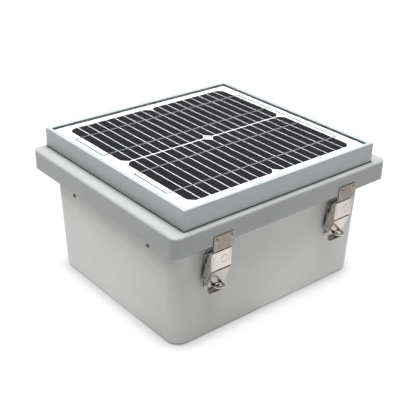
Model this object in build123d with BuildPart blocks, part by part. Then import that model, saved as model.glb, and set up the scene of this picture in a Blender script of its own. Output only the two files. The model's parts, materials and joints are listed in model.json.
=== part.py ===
from build123d import *
from math import atan2, degrees
import os

# Solar fence energizer in a moulded enclosure: millimetres, +Z up, latches on the -Y side, hinge on
# the +Y side. The origin is the middle of the enclosure's underside.

os.makedirs("parts", exist_ok=True)

# ---------------------------------------------------------------- driving dimensions
LID_LENGTH = 346.0
LID_DEPTH = 305.0
LID_TOP = 167.6
LID_WALL = 4.0
LID_CORNER = 10.5
LID_EDGE_ROUND = 3.5
SKIRT_BOTTOM = 140.9

BODY_TOP_DEPTH = 267.0
BODY_BASE_LENGTH = 303.5
BODY_BASE_DEPTH = 255.0
BODY_WALL = 4.0
BODY_BASE_CORNER = 18.0
BODY_FOOT_ROUND = 4.0
FLANGE_LENGTH = 334.0
FLANGE_DEPTH = 293.0
FLANGE_BOTTOM = 145.0
FLANGE_THICKNESS = 4.0
RIM_TOP = 159.6
RIM_GROWTH = 2.0
GASKET_GAP = 0.2
GASKET_MARGIN = 2.0

PANEL_LENGTH = 304.0
PANEL_DEPTH = 292.0
PANEL_BOTTOM = 168.6
PANEL_TOP = 193.6
PANEL_MIDDLE = (-2.2, 0.5)
FRAME_WALL = 1.6
FRAME_LIP = 6.0
FRAME_LIP_THICKNESS = 1.0
FRAME_FOOT = 18.0
GLASS_THICKNESS = 2.0
CELL_THICKNESS = 0.25
RIBBON_THICKNESS = 0.2
BACKSHEET_THICKNESS = 0.6

WAFER = 127.0
WAFER_CIRCLE = 171.0
WAFER_SEAM = 2.2
STRIPS_PER_WAFER = 9
STRIP_WIDTH = 13.16
STRIP_GAP = 1.3
ARRAY_SHIFT = 0.8
BUSBAR_WIDTH = 2.0

LATCH_SPREAD = 101.1
LATCH_SHEET = 1.2
LEVER_PIVOT = (143.0, 102.6)
STRAP_PIVOT = (137.5, 90.6)
LEVER_TOP = (149.4, 104.1)
LEVER_BOTTOM = (138.7, 74.3)

HINGE_X = 95.0
HINGE_AXIS = (156.5, 137.6)
HINGE_SHEET = 1.5
HINGE_WIDTH = 60.0

RUNNING_CLEARANCE = 0.05
SIDE_CLEARANCE = 0.3

# ---------------------------------------------------------------- shared geometry
BODY_DRAFT = (BODY_TOP_DEPTH - BODY_BASE_DEPTH) / 2 / SKIRT_BOTTOM
DRAFT_ANGLE = degrees(atan2(BODY_DRAFT, 1))
FLANGE_TOP = FLANGE_BOTTOM + FLANGE_THICKNESS
LID_INSIDE = LID_TOP - LID_WALL
SKIRT_FACE = LID_DEPTH / 2
LATCH_PLACES = (PANEL_MIDDLE[0] - LATCH_SPREAD, PANEL_MIDDLE[0] + LATCH_SPREAD)
PANEL_SCREW_X = PANEL_LENGTH / 2 - 12.0
PANEL_SCREW_Y = 90.0
BELOW = (Align.CENTER, Align.CENTER, Align.MAX)
ABOVE = (Align.CENTER, Align.CENTER, Align.MIN)


def body_outline(height, inset=0.0):
    """Length, depth and corner radius of the drafted body at a height, taken in by an inset."""
    growth = BODY_DRAFT * height - inset
    return BODY_BASE_LENGTH + 2 * growth, BODY_BASE_DEPTH + 2 * growth, BODY_BASE_CORNER + growth


def panel_plane(height, shift=0.0):
    """Level plane at a height, centred on the panel, which sits a little off the lid's middle."""
    return Plane(origin=(PANEL_MIDDLE[0] + shift, PANEL_MIDDLE[1], height))


def front_plane(x):
    """Plane across the front: local x is the distance out along -Y, local y is the height."""
    return Plane(origin=(x, 0, 0), x_dir=(0, -1, 0), z_dir=(-1, 0, 0))


def back_plane(x):
    """Plane across the back: local x is the distance out along +Y, local y is the height."""
    return Plane(origin=(x, 0, 0), x_dir=(0, 1, 0), z_dir=(1, 0, 0))


def front_wall(height):
    """Distance from the middle to the outer face of the front or back wall."""
    return body_outline(height)[1] / 2


def wall_place(side, along, height, out=0.0):
    """Plane on the outer face of a drafted wall, with its normal pointing out of the body."""
    length, depth, _ = body_outline(height)
    if side in ("front", "back"):
        sign = -1 if side == "front" else 1
        normal = Vector(0, sign, -BODY_DRAFT).normalized()
        origin = Vector(along, sign * depth / 2, height)
        return Plane(origin=origin + normal * out, x_dir=(-sign, 0, 0), z_dir=normal)
    sign = -1 if side == "left" else 1
    normal = Vector(sign, 0, -BODY_DRAFT).normalized()
    origin = Vector(sign * length / 2, along, height)
    return Plane(origin=origin + normal * out, x_dir=(0, sign, 0), z_dir=normal)


def turned_group(places, profile):
    """Separate turned solids, one at each plane, from a closed profile of (radius, height) points."""
    with BuildPart() as group:
        for place in places:
            side = Plane(origin=place.origin, x_dir=place.x_dir, z_dir=-place.y_dir)
            with BuildSketch(side):
                with BuildLine():
                    Polyline(*profile, close=True)
                make_face()
            revolve(axis=Axis(place.origin, place.z_dir))
    return group


def rivet_group(places, shank, grip, head, head_height=1.1, dimple=0.9, tail=2.6, tail_height=1.2):
    """Pop rivets: the plane lies on the outer face, and the grip runs inwards from it."""
    crown = head_height
    profile = [
        (0, -grip - tail_height),
        (tail, -grip - tail_height),
        (tail, -grip),
        (shank, -grip),
        (shank, 0),
        (head, 0),
        (head, 0.3 * crown),
        (0.82 * head, 0.75 * crown),
        (0.5 * head, crown),
        (dimple, crown),
        (dimple, 0.25 * crown),
        (0, 0.25 * crown),
    ]
    return turned_group(places, profile)


def screw_group(places, shank, reach, head, head_height):
    """Pan-head screws: the plane lies under the head, and the shank runs down from it."""
    profile = [
        (0, -reach),
        (shank - 0.4, -reach),
        (shank, -reach + 0.6),
        (shank, 0),
        (head, 0),
        (head, 0.55 * head_height),
        (0.72 * head, head_height),
        (0.34 * head, head_height),
        (0.34 * head, 0.5 * head_height),
        (0, 0.5 * head_height),
    ]
    return turned_group(places, profile)


def wire(points, radius):
    """A round lead that runs smoothly through its points."""
    with BuildPart() as lead:
        with BuildLine() as path:
            Spline(*points)
        start = Plane(origin=path.line @ 0, z_dir=path.line % 0)
        with BuildSketch(start):
            Circle(radius)
        sweep()
    return lead


# ---------------------------------------------------------------- enclosure body
LATCH_RIVET_HEIGHTS = (77.6, 116.0)
LATCH_RIVET_SPREAD = 7.0
LATCH_RIVET_SHANK = 1.6
latch_rivet_places = [
    wall_place("front", middle + spread, height)
    for middle in LATCH_PLACES
    for spread in (-LATCH_RIVET_SPREAD, LATCH_RIVET_SPREAD)
    for height in LATCH_RIVET_HEIGHTS
]
HINGE_RIVET_SHANK = 2.0
HINGE_RIVET_HEAD = 3.6
HINGE_RIVET_HEIGHTS = (110.0, 124.0)
HINGE_RIVET_SPREAD = 20.0
hinge_rivet_places = [
    wall_place("back", middle + spread, height)
    for middle in (-HINGE_X, HINGE_X)
    for spread in (-HINGE_RIVET_SPREAD, HINGE_RIVET_SPREAD)
    for height in HINGE_RIVET_HEIGHTS
]
SIDE_SCREW_SHANK = 1.5
SIDE_SCREW_HEIGHT = 123.2
side_screw_places = [wall_place("left", along, SIDE_SCREW_HEIGHT) for along in (-82.0, 77.5)]
PLATE_SCREW_X = 128.0
PLATE_SCREW_Y = 104.0
PLATE_SCREW_SHANK = 2.0
PLATE_SCREW_HOLE_RADIUS = PLATE_SCREW_SHANK + RUNNING_CLEARANCE
PLATE_SCREW_HOLE_DEPTH = 7.0
BOSS_HEIGHT = 6.0
BOSS_RADIUS = 6.0
PLATE_THICKNESS = 2.0
PLATE_TOP = BODY_WALL + BOSS_HEIGHT + PLATE_THICKNESS
CONTROL_HEIGHT = 95.0
fence_place = wall_place("right", -72.0, CONTROL_HEIGHT)
ground_place = wall_place("right", -22.0, CONTROL_HEIGHT)
switch_place = wall_place("right", 28.0, CONTROL_HEIGHT)
lamp_place = wall_place("right", 66.0, CONTROL_HEIGHT)
TERMINAL_SLEEVE = 7.0
LAMP_BARREL = 4.0
SWITCH_CUTOUT = (14.0, 22.0)

with BuildPart() as body_tub:
    with BuildSketch():
        RectangleRounded(*body_outline(0))
    extrude(amount=FLANGE_TOP, taper=-DRAFT_ANGLE)
    fillet(body_tub.edges().group_by(Axis.Z)[0], BODY_FOOT_ROUND)
    with BuildSketch(Plane.XY.offset(FLANGE_BOTTOM)):
        RectangleRounded(FLANGE_LENGTH, FLANGE_DEPTH, LID_CORNER)
    extrude(amount=FLANGE_THICKNESS)
    with BuildSketch(Plane.XY.offset(FLANGE_TOP)):
        RectangleRounded(*body_outline(FLANGE_TOP, -RIM_GROWTH))
    extrude(amount=RIM_TOP - FLANGE_TOP)
    with BuildSketch(Plane.XY.offset(BODY_WALL)):
        RectangleRounded(*body_outline(BODY_WALL, BODY_WALL))
    extrude(amount=RIM_TOP, taper=-DRAFT_ANGLE, mode=Mode.SUBTRACT)
    with Locations((0, 0, BODY_WALL)):
        with GridLocations(2 * PLATE_SCREW_X, 2 * PLATE_SCREW_Y, 2, 2):
            Cylinder(BOSS_RADIUS, BOSS_HEIGHT, align=ABOVE)
    with Locations((0, 0, BODY_WALL + BOSS_HEIGHT)):
        with GridLocations(2 * PLATE_SCREW_X, 2 * PLATE_SCREW_Y, 2, 2):
            Cylinder(PLATE_SCREW_HOLE_RADIUS, PLATE_SCREW_HOLE_DEPTH, align=BELOW, mode=Mode.SUBTRACT)
    for places, radius in (
        (latch_rivet_places, LATCH_RIVET_SHANK),
        (hinge_rivet_places, HINGE_RIVET_SHANK),
        (side_screw_places, SIDE_SCREW_SHANK),
        ([fence_place, ground_place], TERMINAL_SLEEVE),
        ([lamp_place], LAMP_BARREL),
    ):
        with Locations(*places):
            Cylinder(radius + RUNNING_CLEARANCE, 4 * BODY_WALL, mode=Mode.SUBTRACT)
    with BuildSketch(switch_place):
        Rectangle(*SWITCH_CUTOUT)
    extrude(amount=2 * BODY_WALL, both=True, mode=Mode.SUBTRACT)
body_tub.part.label = "body_tub"
export_step(body_tub.part, "parts/body_tub.step")

# ---------------------------------------------------------------- lid and gasket
KEEPER_RIVET_HEIGHT = 148.4
KEEPER_RIVET_SPREAD = 10.9
KEEPER_RIVET_SHANK = 1.5
KEEPER_SHEET = 1.5
keeper_rivet_planes = [
    Plane(origin=(middle + spread, -SKIRT_FACE, KEEPER_RIVET_HEIGHT), x_dir=(1, 0, 0), z_dir=(0, -1, 0))
    for middle in LATCH_PLACES
    for spread in (-KEEPER_RIVET_SPREAD, KEEPER_RIVET_SPREAD)
]
LID_LEAF_RIVET_HEIGHT = 155.0
lid_leaf_rivet_planes = [
    Plane(origin=(middle + spread, SKIRT_FACE, LID_LEAF_RIVET_HEIGHT), x_dir=(-1, 0, 0), z_dir=(0, 1, 0))
    for middle in (-HINGE_X, HINGE_X)
    for spread in (-22.0, 0.0, 22.0)
]
PANEL_SCREW_SHANK = 2.5
GROMMET_PLACE = (0.0, 104.0)
GROMMET_BORE = 5.0

with BuildPart() as lid:
    with BuildSketch(Plane.XY.offset(SKIRT_BOTTOM)):
        RectangleRounded(LID_LENGTH, LID_DEPTH, LID_CORNER)
    extrude(amount=LID_TOP - SKIRT_BOTTOM)
    fillet(lid.edges().group_by(Axis.Z)[-1], LID_EDGE_ROUND)
    with BuildSketch(Plane.XY.offset(SKIRT_BOTTOM)):
        RectangleRounded(LID_LENGTH - 2 * LID_WALL, LID_DEPTH - 2 * LID_WALL, LID_CORNER - LID_WALL)
    extrude(amount=LID_INSIDE - SKIRT_BOTTOM, mode=Mode.SUBTRACT)
    chamfer(lid.edges().group_by(Axis.Z)[0], 0.6)
    with Locations(*keeper_rivet_planes):
        Cylinder(KEEPER_RIVET_SHANK + RUNNING_CLEARANCE, 4 * LID_WALL, mode=Mode.SUBTRACT)
    with Locations(*lid_leaf_rivet_planes):
        Cylinder(HINGE_RIVET_SHANK + RUNNING_CLEARANCE, 4 * LID_WALL, mode=Mode.SUBTRACT)
    with Locations(panel_plane(LID_TOP)):
        with GridLocations(2 * PANEL_SCREW_X, 2 * PANEL_SCREW_Y, 2, 2):
            Cylinder(PANEL_SCREW_SHANK + RUNNING_CLEARANCE, 4 * LID_WALL, mode=Mode.SUBTRACT)
    with Locations((*GROMMET_PLACE, LID_TOP)):
        Cylinder(GROMMET_BORE, 4 * LID_WALL, mode=Mode.SUBTRACT)
lid.part.label = "lid"
export_step(lid.part, "parts/lid.step")

with BuildPart() as lid_gasket:
    with BuildSketch(Plane.XY.offset(RIM_TOP + GASKET_GAP)):
        RectangleRounded(*body_outline(FLANGE_TOP, -RIM_GROWTH - GASKET_MARGIN))
        RectangleRounded(*body_outline(FLANGE_TOP, BODY_WALL + GASKET_MARGIN), mode=Mode.SUBTRACT)
    extrude(amount=LID_INSIDE - RIM_TOP - GASKET_GAP)
lid_gasket.part.label = "lid_gasket"
export_step(lid_gasket.part, "parts/lid_gasket.step")

# ---------------------------------------------------------------- rear hinges
KNUCKLE_CENTRE = HINGE_AXIS[0] - SKIRT_FACE - HINGE_SHEET / 2
KNUCKLE_OUTER = KNUCKLE_CENTRE + HINGE_SHEET / 2
KNUCKLE_BORE = KNUCKLE_CENTRE - HINGE_SHEET / 2
KNUCKLE_JOIN = 0.2
SHELF_BOTTOM = HINGE_AXIS[1] - KNUCKLE_OUTER
LEAF_FOOT = 102.0

with BuildPart() as hinge_body_leaves:
    for middle in (-HINGE_X, HINGE_X):
        with BuildSketch(back_plane(middle)):
            with BuildLine():
                Polyline(
                    (front_wall(LEAF_FOOT), LEAF_FOOT),
                    (front_wall(LEAF_FOOT) + HINGE_SHEET, LEAF_FOOT),
                    (front_wall(SHELF_BOTTOM) + HINGE_SHEET, SHELF_BOTTOM),
                    (HINGE_AXIS[0], SHELF_BOTTOM),
                    (HINGE_AXIS[0], SHELF_BOTTOM + HINGE_SHEET),
                    (front_wall(SHELF_BOTTOM + HINGE_SHEET), SHELF_BOTTOM + HINGE_SHEET),
                    close=True,
                )
            make_face()
        extrude(amount=HINGE_WIDTH / 2, both=True)
        with BuildSketch(back_plane(middle)):
            with Locations(HINGE_AXIS):
                Circle(KNUCKLE_OUTER)
        extrude(amount=HINGE_WIDTH / 2, both=True)
        with BuildSketch(back_plane(middle)):
            with Locations(HINGE_AXIS):
                Circle(KNUCKLE_BORE)
        extrude(amount=HINGE_WIDTH / 2, both=True, mode=Mode.SUBTRACT)
        with Locations((middle, HINGE_AXIS[0], HINGE_AXIS[1])):
            Box(HINGE_WIDTH / 2, 12.0, 12.0, mode=Mode.SUBTRACT)
    with Locations(*hinge_rivet_places):
        Cylinder(HINGE_RIVET_SHANK + RUNNING_CLEARANCE, 4 * HINGE_SHEET, mode=Mode.SUBTRACT)
hinge_body_leaves.part.label = "hinge_body_leaves"
export_step(hinge_body_leaves.part, "parts/hinge_body_leaves.step")

LID_LEAF_TOP = 162.0
LID_LEAF_STEP = 144.2
MIDDLE_KNUCKLE = HINGE_WIDTH / 4 - KNUCKLE_JOIN
with BuildPart() as hinge_lid_leaves:
    for middle in (-HINGE_X, HINGE_X):
        plate = Plane(origin=(middle, SKIRT_FACE, 0), x_dir=(1, 0, 0), z_dir=(0, -1, 0))
        with BuildSketch(plate.offset(-HINGE_SHEET)):
            with Locations((0, (LID_LEAF_TOP + LID_LEAF_STEP) / 2)):
                Rectangle(HINGE_WIDTH, LID_LEAF_TOP - LID_LEAF_STEP)
            with Locations((0, (LID_LEAF_STEP + HINGE_AXIS[1]) / 2)):
                Rectangle(2 * MIDDLE_KNUCKLE, LID_LEAF_STEP - HINGE_AXIS[1])
        extrude(amount=HINGE_SHEET)
        with BuildSketch(back_plane(middle)):
            with Locations(HINGE_AXIS):
                Circle(KNUCKLE_OUTER)
        extrude(amount=MIDDLE_KNUCKLE, both=True)
        with BuildSketch(back_plane(middle)):
            with Locations(HINGE_AXIS):
                Circle(KNUCKLE_BORE)
        extrude(amount=MIDDLE_KNUCKLE, both=True, mode=Mode.SUBTRACT)
    with Locations(*lid_leaf_rivet_planes):
        Cylinder(HINGE_RIVET_SHANK + RUNNING_CLEARANCE, 4 * HINGE_SHEET, mode=Mode.SUBTRACT)
hinge_lid_leaves.part.label = "hinge_lid_leaves"
export_step(hinge_lid_leaves.part, "parts/hinge_lid_leaves.step")

with BuildPart() as hinge_pins:
    for middle in (-HINGE_X, HINGE_X):
        with BuildSketch(back_plane(middle)):
            with Locations(HINGE_AXIS):
                Circle(KNUCKLE_BORE - RUNNING_CLEARANCE)
        extrude(amount=HINGE_WIDTH / 2 + 0.8, both=True)
hinge_pins.part.label = "hinge_pins"
export_step(hinge_pins.part, "parts/hinge_pins.step")

hinge_body_rivets = rivet_group(
    [plane.offset(HINGE_SHEET) for plane in hinge_rivet_places],
    HINGE_RIVET_SHANK,
    HINGE_SHEET + BODY_WALL,
    HINGE_RIVET_HEAD,
)
hinge_body_rivets.part.label = "hinge_body_rivets"
export_step(hinge_body_rivets.part, "parts/hinge_body_rivets.step")

hinge_lid_rivets = rivet_group(
    [plane.offset(HINGE_SHEET) for plane in lid_leaf_rivet_planes],
    HINGE_RIVET_SHANK,
    HINGE_SHEET + LID_WALL,
    HINGE_RIVET_HEAD,
)
hinge_lid_rivets.part.label = "hinge_lid_rivets"
export_step(hinge_lid_rivets.part, "parts/hinge_lid_rivets.step")

# ---------------------------------------------------------------- draw latches
KEEPER_HALF_WIDTH = 14.9
KEEPER_BOTTOM = 133.4
KEEPER_TOP = 152.4
KEEPER_RETURN = 5.5
STRAP_HALF_WIDTH = 14.8
STRAP_FACE = 150.5
STRAP_BOTTOM = 106.3
STRAP_TOP = 129.3
TONGUE_TOP = 132.6
TONGUE_RECESS = 1.0
TONGUE_HALF_WIDTH = 10.5
LEVER_HALF_WIDTH = STRAP_HALF_WIDTH - LATCH_SHEET - SIDE_CLEARANCE
LEVER_TIP_HALF_WIDTH = 10.4
EAR_HALF_WIDTH = LEVER_HALF_WIDTH - LATCH_SHEET - SIDE_CLEARANCE
LEVER_PIN = 2.0
STRAP_RIVET = 1.5
BASE_FOOT = 74.2
BASE_FOOT_HALF_WIDTH = 9.9
BASE_SHOULDER = 90.0
BASE_HEAD = 120.5
STAPLE_LEVEL = 80.3
STAPLE_THICKNESS = 1.8
STAPLE_RADIUS = 7.0
STAPLE_EYE = 4.4
STAPLE_CENTRE = 146.6
EAR_HEAD = 110.6
EAR_FOOT = 94.6
EAR_RADIUS = 3.5

with BuildPart() as latch_keepers:
    for middle in LATCH_PLACES:
        face = Plane(origin=(middle, -SKIRT_FACE, 0), x_dir=(1, 0, 0), z_dir=(0, -1, 0))
        with BuildSketch(face):
            with Locations((0, (KEEPER_TOP + KEEPER_BOTTOM) / 2)):
                Rectangle(2 * KEEPER_HALF_WIDTH, KEEPER_TOP - KEEPER_BOTTOM)
        extrude(amount=KEEPER_SHEET)
        with BuildSketch(face):
            with Locations((0, KEEPER_BOTTOM + KEEPER_SHEET / 2)):
                Rectangle(2 * TONGUE_HALF_WIDTH, KEEPER_SHEET)
        extrude(amount=-(KEEPER_RETURN - KEEPER_SHEET))
    fillet(latch_keepers.edges().filter_by(Axis.Y).group_by(Axis.Z)[-1], 2.0)
    fillet(latch_keepers.edges().filter_by(Axis.X).group_by(Axis.Y)[0], 0.6)
    with Locations(*keeper_rivet_planes):
        Cylinder(KEEPER_RIVET_SHANK + RUNNING_CLEARANCE, 4 * KEEPER_SHEET, mode=Mode.SUBTRACT)
latch_keepers.part.label = "latch_keepers"
export_step(latch_keepers.part, "parts/latch_keepers.step")

keeper_rivets = rivet_group(
    [plane.offset(KEEPER_SHEET) for plane in keeper_rivet_planes],
    KEEPER_RIVET_SHANK,
    KEEPER_SHEET + LID_WALL,
    head=2.2,
    head_height=0.8,
    dimple=0.8,
    tail=2.2,
)
keeper_rivets.part.label = "keeper_rivets"
export_step(keeper_rivets.part, "parts/keeper_rivets.step")

with BuildPart() as latch_bases:
    for middle in LATCH_PLACES:
        for foot, head, half_width in (
            (BASE_FOOT, BASE_SHOULDER, BASE_FOOT_HALF_WIDTH),
            (BASE_SHOULDER, BASE_HEAD, EAR_HALF_WIDTH),
        ):
            with BuildSketch(front_plane(middle)):
                with BuildLine():
                    Polyline(
                        (front_wall(foot), foot),
                        (front_wall(foot) + HINGE_SHEET, foot),
                        (front_wall(head) + HINGE_SHEET, head),
                        (front_wall(head), head),
                        close=True,
                    )
                make_face()
            extrude(amount=half_width, both=True)
        for side in (-1, 1):
            ear_middle = middle + side * (EAR_HALF_WIDTH - LATCH_SHEET / 2)
            with BuildSketch(front_plane(ear_middle)):
                with BuildLine():
                    Polyline(
                        (front_wall(EAR_HEAD) + 0.5, EAR_HEAD),
                        (LEVER_PIVOT[0], LEVER_PIVOT[1] + EAR_RADIUS),
                        (LEVER_PIVOT[0], LEVER_PIVOT[1] - EAR_RADIUS),
                        (front_wall(EAR_FOOT) + 0.5, EAR_FOOT),
                        close=True,
                    )
                make_face()
                with Locations(LEVER_PIVOT):
                    Circle(EAR_RADIUS)
            extrude(amount=LATCH_SHEET / 2, both=True)
        staple_root = front_wall(STAPLE_LEVEL) + 0.5
        with BuildSketch(Plane.XY.offset(STAPLE_LEVEL)):
            with Locations((middle, -(staple_root + STAPLE_CENTRE) / 2)):
                Rectangle(2 * STAPLE_RADIUS, STAPLE_CENTRE - staple_root)
            with Locations((middle, -STAPLE_CENTRE)):
                Circle(STAPLE_RADIUS)
                Circle(STAPLE_EYE, mode=Mode.SUBTRACT)
        extrude(amount=STAPLE_THICKNESS)
        with Locations(front_plane(middle)):
            with Locations((*LEVER_PIVOT, 0)):
                Cylinder(LEVER_PIN + RUNNING_CLEARANCE, 4 * EAR_HALF_WIDTH, mode=Mode.SUBTRACT)
    with Locations(*latch_rivet_places):
        Cylinder(LATCH_RIVET_SHANK + RUNNING_CLEARANCE, 4 * HINGE_SHEET, mode=Mode.SUBTRACT)
latch_bases.part.label = "latch_bases"
export_step(latch_bases.part, "parts/latch_bases.step")

latch_base_rivets = rivet_group(
    [plane.offset(HINGE_SHEET) for plane in latch_rivet_places],
    LATCH_RIVET_SHANK,
    HINGE_SHEET + BODY_WALL,
    head=2.8,
    dimple=0.7,
    tail=2.4,
)
latch_base_rivets.part.label = "latch_base_rivets"
export_step(latch_base_rivets.part, "parts/latch_base_rivets.step")

with BuildPart() as latch_lever_pins:
    for middle in LATCH_PLACES:
        with BuildSketch(front_plane(middle)):
            with Locations(LEVER_PIVOT):
                Circle(LEVER_PIN)
        extrude(amount=LEVER_HALF_WIDTH + SIDE_CLEARANCE / 2, both=True)
latch_lever_pins.part.label = "latch_lever_pins"
export_step(latch_lever_pins.part, "parts/latch_lever_pins.step")

FLANGE_STOP = 84.5
LIP_RADIUS = 2.6
LEVER_SLOT_TOP = 83.8
LEVER_SLOT_BOTTOM = 76.8
LEVER_SLOT_HALF_WIDTH = STAPLE_RADIUS + 0.7
lever_slope = (LEVER_TOP[0] - LEVER_BOTTOM[0]) / (LEVER_TOP[1] - LEVER_BOTTOM[1])


def lever_face(height):
    """Distance out of the middle of the lever's sheet at a height."""
    return LEVER_BOTTOM[0] + lever_slope * (height - LEVER_BOTTOM[1])


def latch_lever(middle):
    """Channel lever whose face leans back to the wall and ends in a rolled finger lip."""
    lean = degrees(atan2(LEVER_TOP[1] - LEVER_BOTTOM[1], LEVER_TOP[0] - LEVER_BOTTOM[0]))
    with BuildPart() as lever:
        with BuildSketch(front_plane(middle)):
            with BuildLine():
                face = Line(LEVER_TOP, LEVER_BOTTOM)
                JernArc(LEVER_BOTTOM, face % 1, LIP_RADIUS, 150)
            trace(line_width=LATCH_SHEET)
        extrude(amount=LEVER_HALF_WIDTH, both=True)
        trim = Plane(
            origin=(middle, -LEVER_BOTTOM[0], LEVER_BOTTOM[1]), x_dir=(1, 0, 0), z_dir=(0, -1, 0)
        )
        with BuildSketch(trim):
            for side in (-1, 1):
                with BuildLine():
                    Polyline(
                        (side * (LEVER_HALF_WIDTH + 1), FLANGE_STOP - LEVER_BOTTOM[1]),
                        (side * LEVER_HALF_WIDTH, FLANGE_STOP - LEVER_BOTTOM[1]),
                        (side * LEVER_TIP_HALF_WIDTH, 0),
                        (side * LEVER_TIP_HALF_WIDTH, -12),
                        (side * (LEVER_HALF_WIDTH + 1), -12),
                        close=True,
                    )
                make_face()
        extrude(amount=20, both=True, mode=Mode.SUBTRACT)
        for side in (-1, 1):
            with BuildSketch(front_plane(middle + side * (LEVER_HALF_WIDTH - LATCH_SHEET / 2))):
                for point, radius in (
                    (LEVER_PIVOT, 4.4),
                    (STRAP_PIVOT, 4.0),
                    ((lever_face(LEVER_TOP[1] - 0.6), LEVER_TOP[1] - 0.6), 0.3),
                    ((lever_face(FLANGE_STOP), FLANGE_STOP), 0.3),
                    ((lever_face(FLANGE_STOP) - 3.0, FLANGE_STOP), 0.3),
                ):
                    with Locations(point):
                        Circle(radius)
                make_hull()
            extrude(amount=LATCH_SHEET / 2, both=True)
        with BuildSketch(trim):
            with Locations((0, (LEVER_SLOT_TOP + LEVER_SLOT_BOTTOM) / 2 - LEVER_BOTTOM[1])):
                Rectangle(2 * LEVER_SLOT_HALF_WIDTH, LEVER_SLOT_TOP - LEVER_SLOT_BOTTOM)
        extrude(amount=20, both=True, mode=Mode.SUBTRACT)
        for point, radius in ((LEVER_PIVOT, LEVER_PIN), (STRAP_PIVOT, STRAP_RIVET)):
            with BuildSketch(front_plane(middle)):
                with Locations(point):
                    Circle(radius + RUNNING_CLEARANCE)
            extrude(amount=2 * LEVER_HALF_WIDTH, both=True, mode=Mode.SUBTRACT)
    return lever


def latch_strap(middle):
    """Strap plate with two arms that straddle the lever, and a tongue that reaches the keeper."""
    with BuildPart() as strap:
        for side in (-1, 1):
            with BuildSketch(front_plane(middle + side * (STRAP_HALF_WIDTH - LATCH_SHEET / 2))):
                with Locations(STRAP_PIVOT):
                    Circle(4.0)
                with BuildLine():
                    Polyline(
                        (STRAP_FACE - 5.0, STRAP_TOP - 1.5),
                        (STRAP_FACE - 3.5, STRAP_TOP),
                        (STRAP_FACE, STRAP_TOP),
                        (STRAP_FACE, STRAP_BOTTOM),
                    )
                make_hull()
            extrude(amount=LATCH_SHEET / 2, both=True)
        face = Plane(origin=(middle, -STRAP_FACE, 0), x_dir=(1, 0, 0), z_dir=(0, -1, 0))
        with BuildSketch(face):
            with Locations((0, (STRAP_TOP + STRAP_BOTTOM) / 2)):
                Rectangle(2 * STRAP_HALF_WIDTH, STRAP_TOP - STRAP_BOTTOM)
        extrude(amount=-LATCH_SHEET)
        with BuildSketch(face.offset(-TONGUE_RECESS)):
            with Locations((0, (STRAP_TOP + TONGUE_TOP) / 2 - 1.0)):
                Rectangle(2 * TONGUE_HALF_WIDTH, TONGUE_TOP - STRAP_TOP + 2.0)
        extrude(amount=-LATCH_SHEET)
        fillet(strap.edges().filter_by(Axis.Z).group_by(Axis.Y)[0], 1.0)
        with BuildSketch(front_plane(middle)):
            with Locations(STRAP_PIVOT):
                Circle(STRAP_RIVET + RUNNING_CLEARANCE)
        extrude(amount=2 * STRAP_HALF_WIDTH, both=True, mode=Mode.SUBTRACT)
    return strap


def strap_rivets(middle):
    """Two stub rivets that join the strap's arms to the lever's flanges."""
    inner = LEVER_HALF_WIDTH - LATCH_SHEET - SIDE_CLEARANCE / 2
    with BuildPart() as stubs:
        for side in (-1, 1):
            with BuildSketch(front_plane(middle + side * inner)):
                with Locations(STRAP_PIVOT):
                    Circle(STRAP_RIVET)
            extrude(amount=-side * (STRAP_HALF_WIDTH + 0.2 - inner))
            with BuildSketch(front_plane(middle + side * (STRAP_HALF_WIDTH + 0.1))):
                with Locations(STRAP_PIVOT):
                    Circle(2.4)
            extrude(amount=-side * 0.8)
        outer_rims = stubs.edges().filter_by(GeomType.CIRCLE).group_by(Axis.X)
        fillet(outer_rims[0], 0.4)
        fillet(outer_rims[-1], 0.4)
    return stubs


for hand, middle in zip(("left", "right"), LATCH_PLACES):
    lever = latch_lever(middle)
    lever.part.label = f"{hand}_latch_lever"
    export_step(lever.part, f"parts/{hand}_latch_lever.step")
    strap = latch_strap(middle)
    strap.part.label = f"{hand}_latch_strap"
    export_step(strap.part, f"parts/{hand}_latch_strap.step")
    stubs = strap_rivets(middle)
    stubs.part.label = f"{hand}_strap_rivets"
    export_step(stubs.part, f"parts/{hand}_strap_rivets.step")

side_wall_screws = screw_group(side_screw_places, SIDE_SCREW_SHANK, reach=9.0, head=2.6, head_height=1.2)
side_wall_screws.part.label = "side_wall_screws"
export_step(side_wall_screws.part, "parts/side_wall_screws.step")

# ---------------------------------------------------------------- solar panel
FRAME_FACE_Y = PANEL_DEPTH / 2
FRAME_FACE_X = PANEL_LENGTH / 2
GLASS_TOP = PANEL_TOP - FRAME_LIP_THICKNESS
GLASS_BOTTOM = GLASS_TOP - GLASS_THICKNESS
RIBBON_BOTTOM = GLASS_BOTTOM - RIBBON_THICKNESS - 0.05
CELL_BOTTOM = RIBBON_BOTTOM - CELL_THICKNESS
BACKSHEET_BOTTOM = CELL_BOTTOM - BACKSHEET_THICKNESS
LAMINATE_LENGTH = PANEL_LENGTH - 2 * FRAME_WALL - 1.0
LAMINATE_DEPTH = PANEL_DEPTH - 2 * FRAME_WALL - 1.0


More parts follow.
